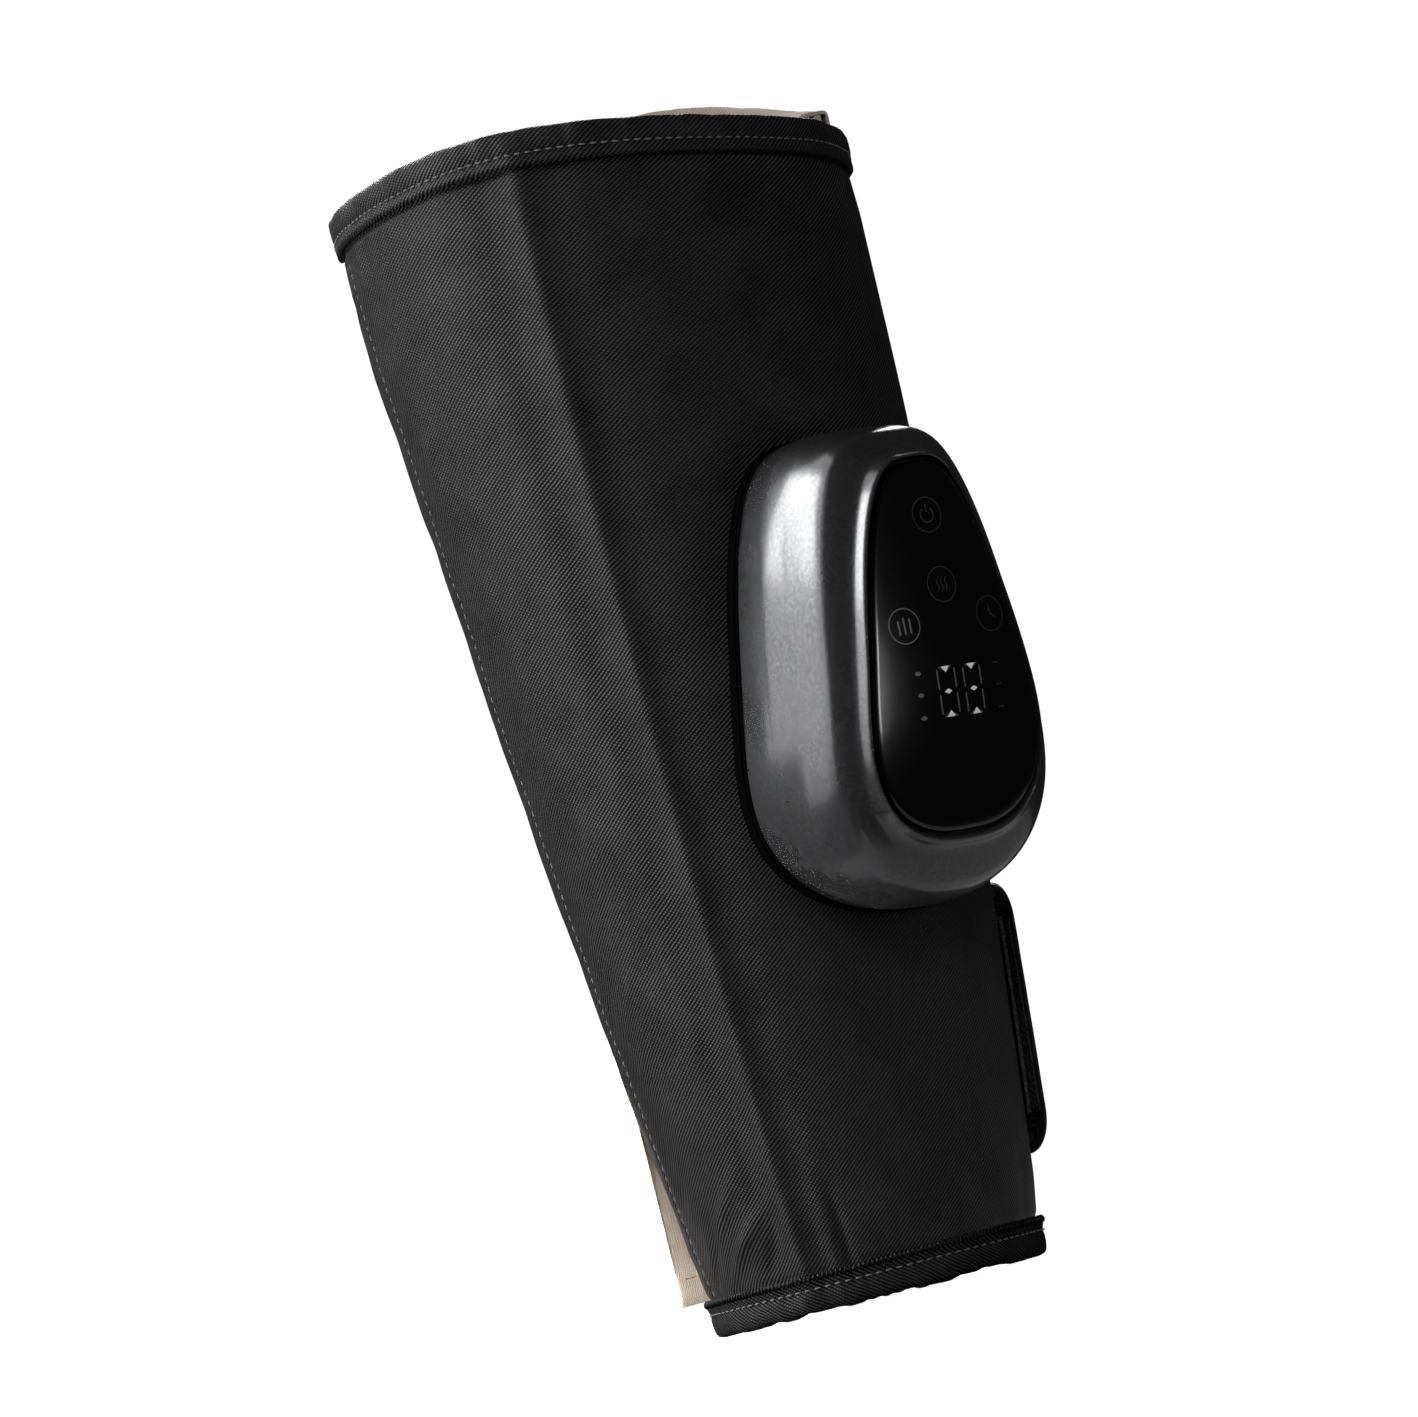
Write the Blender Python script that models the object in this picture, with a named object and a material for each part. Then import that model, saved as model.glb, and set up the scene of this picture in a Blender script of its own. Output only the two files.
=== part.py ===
# Air compression leg massager: a padded wrap that closes round the calf, with a moulded control pod.
# Metres, +Z up the leg. The wrap stands on its bottom hem, and angles turn from the pod's side, -Y, to +X.
import math

import bmesh
import bpy
from mathutils import Matrix, Vector

MM = 0.001

# Wrap: overall shape
SLEEVE_HEIGHT = 362 * MM      # bottom hem to top hem at the shin side
BOTTOM_RADIUS = 50.5 * MM
TOP_RADIUS = 81.5 * MM
SLEEVE_BULGE = 4.1 * MM       # how far the side bows out of a straight cone at mid height
FLATNESS_SHARE = 0.10         # how far the front goes from round towards a flat facet
CREASE_ANGLE_LOW = -60.5      # the fold left of the pod, at the foot and at the top
CREASE_ANGLE_HIGH = -52.0
FACET_END_ANGLE = 46.0
FRONT_DROP = 20 * MM          # the top hem falls this much from the fold to the right edge
DROP_START_ANGLE = -75.0
CALF_RISE = 30 * MM           # the back flap stands this much higher at the calf
CALF_RISE_ANGLE = 135.0
CALF_RISE_SPREAD = 75.0
FLAP_LIFT = 12 * MM           # the back flap's bottom hem is this far off the floor

# Wrap: where its panels begin and end
FRONT_RIGHT_ANGLE = 66.0
FRONT_LEFT_ANGLE = -126.0
FLAP_FREE_ANGLE = 70.0
HINGE_ANGLE = -153.0
HINGE_GAP_ANGLE = 0.35
TAIL_REACH = 62.6 * MM        # the gusset's loose corner, measured sideways from the leg's axis
TAIL_BEND_SHARE = 0.51
GUSSET_SHELL_REACH_SHARE = 0.96

# Wrap: layers
LAYER_GAP = 0.35 * MM
SHELL_THICKNESS = 1.6 * MM
CHAMBER_THICKNESS = 2.4 * MM
FILM_THICKNESS = 0.6 * MM
LINING_THICKNESS = 1.4 * MM
HEM_HEIGHT = 11 * MM
HEM_THICKNESS = 1.1 * MM
HEM_ROUND = 0.5 * MM
CHAMBER_MARGIN = 24 * MM      # chamber edge to hem edge
CHAMBER_SPLIT = 12 * MM       # the strip between an upper and a lower chamber
FRONT_COLUMNS = 32
FLAP_COLUMNS = 22
FRONT_CHAMBER_COLUMNS = 17
TUBE_WIDTH = 6 * MM
FILM_MARGIN = 14 * MM
PATCH_THICKNESS = 1.0 * MM

# Closure tab
TAB_LOW = 31 * MM
TAB_HIGH = 115 * MM
TAB_HINGE_ANGLE = 84.0
TAB_ANCHOR_SPAN_ANGLE = 13.0
TAB_LENGTH = 27.5 * MM
TAB_CORNER = 12 * MM
TAB_THICKNESS = 1.3 * MM
TAB_PATCH_START_SHARE = 0.5
TAB_PATCH_END_SHARE = 0.9
LOOP_PATCH_SPAN_ANGLE = 9.0

# Pod: outlines as half width, half height, taper towards the top and squareness of each end
POD_HEIGHT_ON_LEG = 178.5 * MM
POD_TILT = math.radians(5.5)
BASE_HALF_WIDTH = 40 * MM
BASE_HALF_HEIGHT = 71.3 * MM
BASE_TAPER_SHARE = 0.22
BASE_SQUARENESS_HIGH = 4.0
BASE_SQUARENESS_LOW = 2.45
BASE_RISE = 1.2 * MM
PANEL_HALF_WIDTH = 28.4 * MM
PANEL_HALF_HEIGHT = 54.8 * MM
PANEL_TAPER_SHARE = 0.34
PANEL_SQUARENESS_HIGH = 3.3
PANEL_SQUARENESS_LOW = 2.65
PANEL_RISE = 3.5 * MM
POD_GAP = 0.3 * MM
REAR_CASING_THICKNESS = 3.0 * MM
BEZEL_DEPTH = 40 * MM         # cloth to the crest of the bezel, before the front's swell
FRONT_SWELL = 4.6 * MM        # how far the front stands out above that in its middle
FRONT_SIDE_DROP = 1.7 * MM    # and how far it falls away again to the panel's sides
FRONT_FOOT_DROP = 7.1 * MM    # and to its low end, from FOOT_DROP_START down
FOOT_DROP_START = 10 * MM
LEDGE_DEPTH = 37 * MM
LEDGE_THICKNESS = 2.0 * MM
GASKET_THICKNESS = 0.6 * MM
PANEL_EDGE_DEPTH = 40.7 * MM
PANEL_CROWN_DEPTH = 43.1 * MM
PANEL_DOME_SHARES = (0.93, 0.8, 0.62, 0.42, 0.2)
POD_SEGMENTS = 40

# Pod: the casing's section as (share of the way from base to panel outline, share of the bezel depth)
CASING_OUTER_SHARES = (
    (0.01, 0.18), (0.04, 0.44), (0.085, 0.62), (0.135, 0.68), (0.20, 0.727), (0.38, 0.806), (0.62, 0.903),
    (0.85, 0.985), (0.95, 1.0), (1.00, 0.985),
)
CASING_INNER_SHARES = ((0.86, 0.86), (0.60, 0.765), (0.42, 0.69), (0.30, 0.61), (0.24, 0.44), (0.21, 0.18))
CASING_WALL_SHARE = 0.20
CASING_UNDER_SHARES = (0.10, 0.28, 0.46, 0.64, 0.82, 1.0)
CASING_FLOOR_SHARES = (1.0, 0.6, 0.2)
LEDGE_SHARE = 1.16
PANEL_EDGE_SHARE = 1.04
GASKET_OUTER_SHARE = 1.05
GASKET_INNER_SHARE = 1.12

# Pod: what it holds, in the pod's own frame (across, out from the cloth, up)
SCREW_HALF_SPACING_HIGH = 14 * MM
SCREW_HALF_SPACING_LOW = 15 * MM
SCREW_RISE = 46 * MM
SCREW_DROP = 52 * MM
SCREW_RADIUS = 1.5 * MM
SCREW_HEAD_RADIUS = 2.8 * MM
SCREW_HEAD_THICKNESS = 0.8 * MM
SCREW_HEAD_SINK = 0.6 * MM
SCREW_REACH = 9 * MM
BOSS_RADIUS = 3.4 * MM
BOSS_DEPTH = 11 * MM
PLATE_HALF_ANGLE = 17.0
PLATE_MARGIN = 6 * MM

BOARD_DEPTH = 30 * MM
BOARD_THICKNESS = 1.6 * MM
BOARD_HALF_WIDTH = 26 * MM
BOARD_LOW = -44 * MM
BOARD_HIGH = 42 * MM
BOARD_CORNER = 10 * MM
BOARD_POST_RADIUS = 2.5 * MM
BOARD_POST_INSET = 5 * MM
CHIP_SIZE = (12 * MM, 1.4 * MM, 12 * MM)

DISPLAY_BOARD_THICKNESS = 1.2 * MM
DISPLAY_BOARD_SHARE = 1.28
DIGIT_MODULE_SIZE = (24 * MM, 3.8 * MM, 19 * MM)
DIGIT_MODULE_RISE = -7 * MM

BATTERY_SIZE = (36 * MM, 11.5 * MM, 30 * MM)
BATTERY_CENTRE = (0, -31 * MM)
BATTERY_CORNER = 2.5 * MM

MOTOR_RADIUS = 12 * MM
MOTOR_LENGTH = 30 * MM
MOTOR_ACROSS = 14 * MM
MOTOR_LOW = -12 * MM
MOTOR_DEPTH = 17 * MM
MOTOR_RIB_SHARES = (0.2, 0.8)
MOTOR_NECK_RADIUS = 3 * MM
MOTOR_NECK_LENGTH = 2 * MM
SHAFT_RADIUS = 1.0 * MM
SHAFT_SINK = 8 * MM
HEAD_WIDTH = 24 * MM
HEAD_HEIGHT = 15.5 * MM
HEAD_BORE_RADIUS = 9.5 * MM
HEAD_BORE_DEPTH = 11 * MM
HEAD_CORNER = 3 * MM
CAM_RADIUS = 7 * MM
CAM_THROW = 1.2 * MM
CAM_THICKNESS = 6 * MM

MANIFOLD_ACROSS = -27 * MM
MANIFOLD_WIDTH = 7 * MM
MANIFOLD_DEPTHS = (12 * MM, 20 * MM)
MANIFOLD_HEIGHTS = (-25 * MM, 23.5 * MM)
MANIFOLD_CORNER = 1 * MM
NIPPLE_RADIUS = 2.2 * MM
NIPPLE_BORE = 1.1 * MM
NIPPLE_SPACING = 20 * MM
HOSE_RADIUS = 2.2 * MM
HOSE_BORE = 1.3 * MM
HOSE_BEND_SHARE = 2.2

VALVE_WIDTH = 11 * MM
VALVE_LENGTH = 17 * MM
VALVE_DEPTHS = (9 * MM, 20 * MM)
VALVE_LOWS = (-13 * MM, 7 * MM)
VALVE_CORNER = 0.8 * MM
VALVE_BORE_RADIUS = 2.4 * MM
VALVE_BORE_DEPTH = 8 * MM
PLUNGER_RADIUS = 2.0 * MM
PLUNGER_STICKS_OUT = 1.7 * MM
PLUNGER_SINK = 5 * MM

USB_SIZE = (9.4 * MM, 3.4 * MM, 16 * MM)
USB_RISE = -20 * MM
USB_INSET = 0.8 * MM
USB_WALL = 0.35 * MM
USB_FLOOR = 3.5 * MM

OVERRUN = 3 * MM              # how far a cutter passes its work
ROUND_SIDES = 20
MERGE = 0.01 * MM


# Shared shapes

def finish(name, colour, roughness, metallic=0.0):
    material = bpy.data.materials.get(name)
    if material is None:
        material = bpy.data.materials.new(name)
        material.use_nodes = True
        shader = material.node_tree.nodes["Principled BSDF"]
        shader.inputs["Base Color"].default_value = (*colour, 1.0)
        shader.inputs["Roughness"].default_value = roughness
        shader.inputs["Metallic"].default_value = metallic
    return material


def black_cloth():
    return finish("black_cloth", (0.012, 0.012, 0.013), 0.55)


def beige_cloth():
    return finish("beige_cloth", (0.46, 0.37, 0.28), 0.85)


def gunmetal_gloss():
    return finish("gunmetal_gloss", (0.035, 0.036, 0.039), 0.16, 0.35)


def black_gloss():
    return finish("black_gloss", (0.003, 0.003, 0.003), 0.05)


def black_moulding():
    return finish("black_moulding", (0.02, 0.02, 0.02), 0.45)


def clear_bladder():
    return finish("clear_bladder", (0.55, 0.57, 0.58), 0.35)


def heater_foil():
    return finish("heater_foil", (0.45, 0.20, 0.06), 0.4)


def hook_tape():
    return finish("hook_tape", (0.03, 0.03, 0.03), 0.9)


def green_board():
    return finish("green_board", (0.02, 0.12, 0.05), 0.45)


def bright_steel():
    return finish("bright_steel", (0.55, 0.55, 0.56), 0.3, 1.0)


def white_moulding():
    return finish("white_moulding", (0.75, 0.75, 0.72), 0.5)


def blue_wrap():
    return finish("blue_wrap", (0.03, 0.09, 0.30), 0.35)


def add_object(name, bm, material, parent=None, smooth_angle=math.radians(40)):
    bmesh.ops.recalc_face_normals(bm, faces=bm.faces)
    if bm.calc_volume(signed=True) < 0:
        bmesh.ops.reverse_faces(bm, faces=bm.faces)
    mesh = bpy.data.meshes.new(name)
    bm.to_mesh(mesh)
    bm.free()
    mesh.materials.append(material)
    mesh.shade_smooth()
    mesh.set_sharp_from_angle(angle=smooth_angle)
    made = bpy.data.objects.new(name, mesh)
    bpy.context.collection.objects.link(made)
    made.parent = parent
    return made


def loft(name, loops, material, parent=None, ring=False):
    """Skin a row of closed loops with the same number of points; ring joins the last loop to the first."""
    bm = bmesh.new()
    rows = [[bm.verts.new(point) for point in loop] for loop in loops]
    pairs = list(zip(rows, rows[1:])) + ([(rows[-1], rows[0])] if ring else [])
    for low, high in pairs:
        for i in range(len(low)):
            j = (i + 1) % len(low)
            bm.faces.new((low[i], low[j], high[j], high[i]))
    if not ring:
        bm.faces.new(reversed(rows[0]))
        bm.faces.new(rows[-1])
    return add_object(name, bm, material, parent)


def sheet(name, place, columns, rows, thickness, material, parent=None):
    """A cloth or film panel: place(across, up) gives its outer face for shares 0 to 1."""
    bm = bmesh.new()
    grid = [[bm.verts.new(place(c / columns, r / rows)) for c in range(columns + 1)]
            for r in range(rows + 1)]
    for r in range(rows):
        for c in range(columns):
            bm.faces.new((grid[r][c], grid[r][c + 1], grid[r + 1][c + 1], grid[r + 1][c]))
    mesh = bpy.data.meshes.new(name)
    bm.normal_update()
    bm.to_mesh(mesh)
    bm.free()
    mesh.materials.append(material)
    mesh.shade_smooth()
    made = bpy.data.objects.new(name, mesh)
    bpy.context.collection.objects.link(made)
    made.parent = parent
    solidify = made.modifiers.new("thickness", "SOLIDIFY")
    solidify.thickness = thickness
    solidify.offset = -1.0
    return made


def block(name, low, high, corner, material, parent=None):
    """A box between two corners, its edges rounded."""
    bm = bmesh.new()
    size = [b - a for a, b in zip(low, high)]
    centre = [(a + b) / 2 for a, b in zip(low, high)]
    bmesh.ops.create_cube(bm, size=1.0, matrix=Matrix.Translation(centre) @ Matrix.Diagonal((*size, 1.0)))
    if corner:
        bmesh.ops.bevel(bm, geom=list(bm.edges), offset=corner, segments=2, affect="EDGES", profile=0.5)
    return add_object(name, bm, material, parent)


def turned(name, profile, frame, material, parent=None, sides=ROUND_SIDES):
    """A turned piece: its profile is (radius, height), from the axis round to the axis again."""
    bm = bmesh.new()
    points = [bm.verts.new((radius, 0, height)) for radius, height in profile]
    edges = [bm.edges.new(pair) for pair in zip(points, points[1:])]
    if profile[0][0] > 0:
        edges.append(bm.edges.new((points[-1], points[0])))
    bmesh.ops.spin(bm, geom=points + edges, cent=(0, 0, 0), axis=(0, 0, 1), angle=math.tau, steps=sides,
                   use_duplicate=False)
    bmesh.ops.remove_doubles(bm, verts=bm.verts, dist=MERGE)
    bm.transform(frame)
    return add_object(name, bm, material, parent)


def rod(name, low, high, radius, material, parent=None, sides=ROUND_SIDES):
    """A plain round bar between two points."""
    axis = high - low
    frame = Matrix.Translation(low) @ axis.to_track_quat("Z", "Y").to_matrix().to_4x4()
    return turned(name, ((0, 0), (radius, 0), (radius, axis.length), (0, axis.length)), frame, material,
                  parent, sides)


def combine(made, other, operation):
    """Cut or join with another shape, which then stays as a wire guide only."""
    change = made.modifiers.new(operation.lower(), "BOOLEAN")
    change.operation = operation
    change.solver = "EXACT"
    change.object = other
    other.hide_render = True
    other.display_type = "WIRE"


def join_shapes(name, shapes):
    """Several separate shapes as one guide object."""
    bm = bmesh.new()
    for shape in shapes:
        copy = shape.data.copy()
        copy.transform(shape.matrix_basis)
        bm.from_mesh(copy)
        bpy.data.objects.remove(shape)
    material = black_moulding()
    return add_object(name, bm, material, POD_FRAME)


# The wrap's surface

def base_radius(height):
    share = height / SLEEVE_HEIGHT
    straight = BOTTOM_RADIUS + (TOP_RADIUS - BOTTOM_RADIUS) * share
    return straight + 4 * SLEEVE_BULGE * share * (1 - share)


def crease_angle(height):
    return CREASE_ANGLE_LOW + (CREASE_ANGLE_HIGH - CREASE_ANGLE_LOW) * height / SLEEVE_HEIGHT


def wrap_radius(angle, height):
    """Round, but drawn towards a flat facet between the fold and the right side."""
    start = crease_angle(height)
    middle = (start + FACET_END_ANGLE) / 2
    half = math.radians((FACET_END_ANGLE - start) / 2)
    turn = math.radians(angle - middle)
    if abs(turn) >= half:
        return base_radius(height)
    return base_radius(height) * (1 - FLATNESS_SHARE * (1 - math.cos(half) / math.cos(turn)))


def outward(angle):
    turn = math.radians(angle)
    return Vector((math.sin(turn), -math.cos(turn), 0))


def wrap_point(angle, height, depth):
    point = outward(angle) * (wrap_radius(angle, height) - depth)
    point.z = height
    return point


def front_top(angle):
    share = (angle - DROP_START_ANGLE) / (FRONT_RIGHT_ANGLE - DROP_START_ANGLE)
    share = min(1, max(0, share))
    return SLEEVE_HEIGHT - FRONT_DROP * (1 - math.cos(math.pi * share)) / 2


def front_bottom(angle):
    return 0.0


def flap_top(angle):
    share = min(1, abs(angle - CALF_RISE_ANGLE) / CALF_RISE_SPREAD)
    return SLEEVE_HEIGHT + CALF_RISE * math.cos(math.pi / 2 * share) ** 2


def flap_bottom(angle):
    return FLAP_LIFT


def between(low, high, share):
    return low + (high - low) * share


HEM_CLEAR = HEM_THICKNESS + LAYER_GAP
CHAMBER_DEPTH = SHELL_THICKNESS + LAYER_GAP
FRONT_LINING_DEPTH = CHAMBER_DEPTH + CHAMBER_THICKNESS + LAYER_GAP
FRONT_STACK = FRONT_LINING_DEPTH + LINING_THICKNESS
FILM_DEPTH = CHAMBER_DEPTH + CHAMBER_THICKNESS + LAYER_GAP
FLAP_LINING_DEPTH = FILM_DEPTH + FILM_THICKNESS + LAYER_GAP
FLAP_STACK = FLAP_LINING_DEPTH + LINING_THICKNESS
FLAP_START_ANGLE = HINGE_ANGLE + 360 - HINGE_GAP_ANGLE


def wrap_sheet(name, angles, low, high, depth, columns, rows, thickness, material, parent=None):
    """A panel of the wrap at one depth, between two angles and two edge lines low(angle) and high(angle)."""
    def place(across, up):
        angle = between(angles[0], angles[1], across)
        return wrap_point(angle, between(low(angle), high(angle), up), depth)
    return sheet(name, place, columns, rows, thickness, material, parent)


def shifted(edge, distance):
    return lambda angle: edge(angle) + distance


def hem(name, angles, edge, upward, stack, columns, parent=None):
    """The folded binding: a channel round the edge of the layers."""
    outer, inner = -LAYER_GAP - HEM_THICKNESS, stack + LAYER_GAP + HEM_THICKNESS
    section = (
        (outer + HEM_ROUND, 0), (inner - HEM_ROUND, 0), (inner, HEM_ROUND), (inner, HEM_HEIGHT),
        (inner - HEM_THICKNESS, HEM_HEIGHT), (inner - HEM_THICKNESS, HEM_THICKNESS),
        (outer + HEM_THICKNESS, HEM_THICKNESS), (outer + HEM_THICKNESS, HEM_HEIGHT), (outer, HEM_HEIGHT),
        (outer, HEM_ROUND),
    )
    side = 1 if upward else -1
    loops = []
    for c in range(columns + 1):
        angle = between(angles[0], angles[1], c / columns)
        loops.append([wrap_point(angle, edge(angle) + side * rise, depth) for depth, rise in section])
    return loft(name, loops, black_cloth(), parent)


def chamber(name, angles, low, high, columns, rows, parent=None):
    return wrap_sheet(name, angles, low, high, CHAMBER_DEPTH, columns, rows, CHAMBER_THICKNESS,
                      clear_bladder(), parent)


# The front panel of the wrap

def make_front_panel():
    angles = (FRONT_LEFT_ANGLE, FRONT_RIGHT_ANGLE)
    low, high = shifted(front_bottom, HEM_CLEAR), shifted(front_top, -HEM_CLEAR)
    shell = wrap_sheet("front_shell", angles, low, high, 0, FRONT_COLUMNS, 9, SHELL_THICKNESS,
                       black_cloth())
    wrap_sheet("front_lining", angles, low, high, FRONT_LINING_DEPTH, FRONT_COLUMNS, 6, LINING_THICKNESS,
               beige_cloth())
    hem("front_top_hem", angles, front_top, False, FRONT_STACK, FRONT_COLUMNS)
    hem("front_bottom_hem", angles, front_bottom, True, FRONT_STACK, FRONT_COLUMNS)
    return shell


def make_front_chambers():
    """Two air chambers on the left, with the supply tube of the back chambers running between them."""
    column = (FRONT_RIGHT_ANGLE - FRONT_LEFT_ANGLE) / FRONT_COLUMNS
    start = FRONT_LEFT_ANGLE + column
    angles = (start, start + column * FRONT_CHAMBER_COLUMNS)
    middle = POD_HEIGHT_ON_LEG
    chamber("left_lower_air_chamber", angles, lambda angle: CHAMBER_MARGIN,
            lambda angle: middle - CHAMBER_SPLIT / 2,
            FRONT_CHAMBER_COLUMNS, 4)
    chamber("left_upper_air_chamber", angles, lambda angle: middle + CHAMBER_SPLIT / 2,
            lambda angle: front_top(angle) - CHAMBER_MARGIN, FRONT_CHAMBER_COLUMNS, 4)
    chamber("supply_tube", angles, lambda angle: middle - TUBE_WIDTH / 2,
            lambda angle: middle + TUBE_WIDTH / 2,
            FRONT_CHAMBER_COLUMNS, 1)


# The gusset behind the left edge, whose bottom corner stands loose

def gusset_point(share, height, depth):
    radius = base_radius(height)
    side, back = outward(FRONT_LEFT_ANGLE), outward(FRONT_LEFT_ANGLE - 90)
    start_turn = math.radians(FRONT_LEFT_ANGLE - HINGE_ANGLE - HINGE_GAP_ANGLE)
    start = side * math.cos(start_turn) * radius + back * math.sin(start_turn) * radius
    along = side * math.sin(start_turn) - back * math.cos(start_turn)
    end = side * max(TAIL_REACH, radius) + back * LAYER_GAP
    bend = start + along * (end - start).length * TAIL_BEND_SHARE
    point = start * (1 - share) ** 2 + bend * 2 * share * (1 - share) + end * share ** 2
    way = (bend - start) * (1 - share) + (end - bend) * share
    normal = Vector((-way.y, way.x, 0)).normalized()
    if normal.dot(point) < 0:
        normal.negate()
    point -= normal * depth
    point.z = height
    return point


def make_gusset():
    low, high = FLAP_LIFT, SLEEVE_HEIGHT - HEM_HEIGHT

    def place(depth, reach_share):
        return lambda across, up: gusset_point((1 - across) * reach_share, between(low, high, up), depth)
    sheet("gusset_shell", place(0, GUSSET_SHELL_REACH_SHARE), 5, 12, SHELL_THICKNESS, black_cloth())
    sheet("gusset_lining", place(SHELL_THICKNESS + LAYER_GAP, 1), 5, 12, LINING_THICKNESS, beige_cloth())


# The back flap, which swings open behind the calf

def make_back_flap(flap):
    angles = (FLAP_FREE_ANGLE, FLAP_START_ANGLE)
    low, high = shifted(flap_bottom, HEM_CLEAR), shifted(flap_top, -HEM_CLEAR)
    wrap_sheet("back_shell", angles, low, high, 0, FLAP_COLUMNS, 9, SHELL_THICKNESS, black_cloth(), flap)
    wrap_sheet("back_lining", angles, low, high, FLAP_LINING_DEPTH, FLAP_COLUMNS, 6, LINING_THICKNESS,
               beige_cloth(),
               flap)
    hem("back_top_hem", angles, flap_top, False, FLAP_STACK, FLAP_COLUMNS, flap)
    hem("back_bottom_hem", angles, flap_bottom, True, FLAP_STACK, FLAP_COLUMNS, flap)
    column = (angles[1] - angles[0]) / FLAP_COLUMNS
    columns = FLAP_COLUMNS - 2
    inner = (angles[0] + column, angles[1] - column)
    middle = POD_HEIGHT_ON_LEG
    low, high = shifted(flap_bottom, CHAMBER_MARGIN), shifted(flap_top, -CHAMBER_MARGIN)
    chamber("back_lower_air_chamber", inner, low, lambda angle: middle - CHAMBER_SPLIT / 2, columns, 4,
            flap)
    chamber("back_upper_air_chamber", inner, lambda angle: middle + CHAMBER_SPLIT / 2, high, columns, 4,
            flap)
    wrap_sheet("heating_film", inner, shifted(low, FILM_MARGIN), shifted(high, -FILM_MARGIN), FILM_DEPTH,
               columns, 5,
               FILM_THICKNESS, heater_foil(), flap)


# The closure tab on the flap's free edge

def tab_root(height, lift):
    return wrap_point(TAB_HINGE_ANGLE, height, -lift)


def tab_point(along, height, lift):
    """A point on the tab, which leaves the wrap in a straight line along its tangent."""
    turn = math.radians(TAB_HINGE_ANGLE)
    return tab_root(height, lift) - Vector((math.cos(turn), math.sin(turn), 0)) * along


def tab_reach(height):
    """How far the tab's outline reaches at one height, its two free corners being round."""
    from_end = min(height - TAB_LOW, TAB_HIGH - height)
    if from_end >= TAB_CORNER:
        return TAB_LENGTH
    missing = TAB_CORNER - from_end
    return TAB_LENGTH - TAB_CORNER + math.sqrt(max(0, TAB_CORNER ** 2 - missing ** 2))


def make_tab(flap, tab):
    outer_lift = LAYER_GAP + TAB_THICKNESS
    start = LAYER_GAP

    def strap_place(across, up):
        height = between(TAB_LOW, TAB_HIGH, (1 - math.cos(math.pi * up)) / 2)
        return tab_point(between(start, tab_reach(height), 1 - across), height, outer_lift)
    sheet("tab_strap", strap_place, 8, 14, TAB_THICKNESS, black_cloth(), tab)

    def hook_place(across, up):
        height = between(TAB_LOW + TAB_CORNER, TAB_HIGH - TAB_CORNER, up)
        share = between(TAB_PATCH_END_SHARE, TAB_PATCH_START_SHARE, across)
        return tab_point(TAB_LENGTH * share, height, 0)
    sheet("tab_hook_patch", hook_place, 3, 8, PATCH_THICKNESS, hook_tape(), tab)
    anchor = (TAB_HINGE_ANGLE, TAB_HINGE_ANGLE + TAB_ANCHOR_SPAN_ANGLE)
    wrap_sheet("tab_anchor", anchor, lambda angle: TAB_LOW, lambda angle: TAB_HIGH, -outer_lift, 4, 8,
               TAB_THICKNESS,
               black_cloth(), flap)
    loop = (FRONT_RIGHT_ANGLE - LOOP_PATCH_SPAN_ANGLE, FRONT_RIGHT_ANGLE)
    wrap_sheet("loop_patch", loop, lambda angle: TAB_LOW + TAB_CORNER, lambda angle: TAB_HIGH - TAB_CORNER,
               -LAYER_GAP - PATCH_THICKNESS, 3, 8, PATCH_THICKNESS, hook_tape())


# The pod's own frame and outlines

def egg(turn, half_width, half_height, taper, square_high, square_low):
    """One point of a rounded outline, narrower towards the top, its squareness changing from end to end."""
    across, up = math.sin(turn), math.cos(turn)
    power = 2 / between(square_high, square_low, (1 - up) / 2)
    height = math.copysign(abs(up) ** power, up)
    width = math.copysign(abs(across) ** power, across) * (1 - taper * height)
    return half_width * width, half_height * height


def outline(share, turn):
    """Between the base outline (share 0) and the panel outline (share 1)."""
    base = egg(turn, BASE_HALF_WIDTH, BASE_HALF_HEIGHT, BASE_TAPER_SHARE, BASE_SQUARENESS_HIGH,
               BASE_SQUARENESS_LOW)
    panel = egg(turn, PANEL_HALF_WIDTH, PANEL_HALF_HEIGHT, PANEL_TAPER_SHARE, PANEL_SQUARENESS_HIGH,
                PANEL_SQUARENESS_LOW)
    return between(base[0], panel[0], share), between(base[1] + BASE_RISE, panel[1] + PANEL_RISE, share)


def front_depth(across, up, depth):
    """A depth with the front's swell, which falls away to the sides and to the low end."""
    foot = min(0, up - FOOT_DROP_START) / (FOOT_DROP_START + PANEL_HALF_HEIGHT - PANEL_RISE)
    drop = FRONT_SIDE_DROP * (across / PANEL_HALF_WIDTH) ** 2 + FRONT_FOOT_DROP * foot ** 2
    return depth + (FRONT_SWELL - drop) * (depth / BEZEL_DEPTH) ** 2


POD_SEAT_RADIUS = wrap_radius(0, POD_HEIGHT_ON_LEG)
POD_MATRIX = Matrix.Translation((0, -POD_SEAT_RADIUS, POD_HEIGHT_ON_LEG)) @ Matrix.Rotation(POD_TILT, 4,
                                                                                            "X")
POD_FRAME = None


def seat_depth(across, up, clearance):
    """How far out from the pod's frame the cloth lies at one place, plus a clearance."""
    depth = 0.0
    for _ in range(12):
        point = POD_MATRIX @ Vector((across, -depth, up))
        radius = math.hypot(point.x, point.y)
        angle = math.degrees(math.atan2(point.x, -point.y))
        depth -= (radius - wrap_radius(angle, point.z) - clearance) * radius / -point.y
    return depth


def turns():
    return [math.tau * i / POD_SEGMENTS for i in range(POD_SEGMENTS)]


def outline_loop(share, depth):
    return [Vector((x, -front_depth(x, z, depth), z)) for x,
            z in (outline(share, turn) for turn in turns())]


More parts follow.
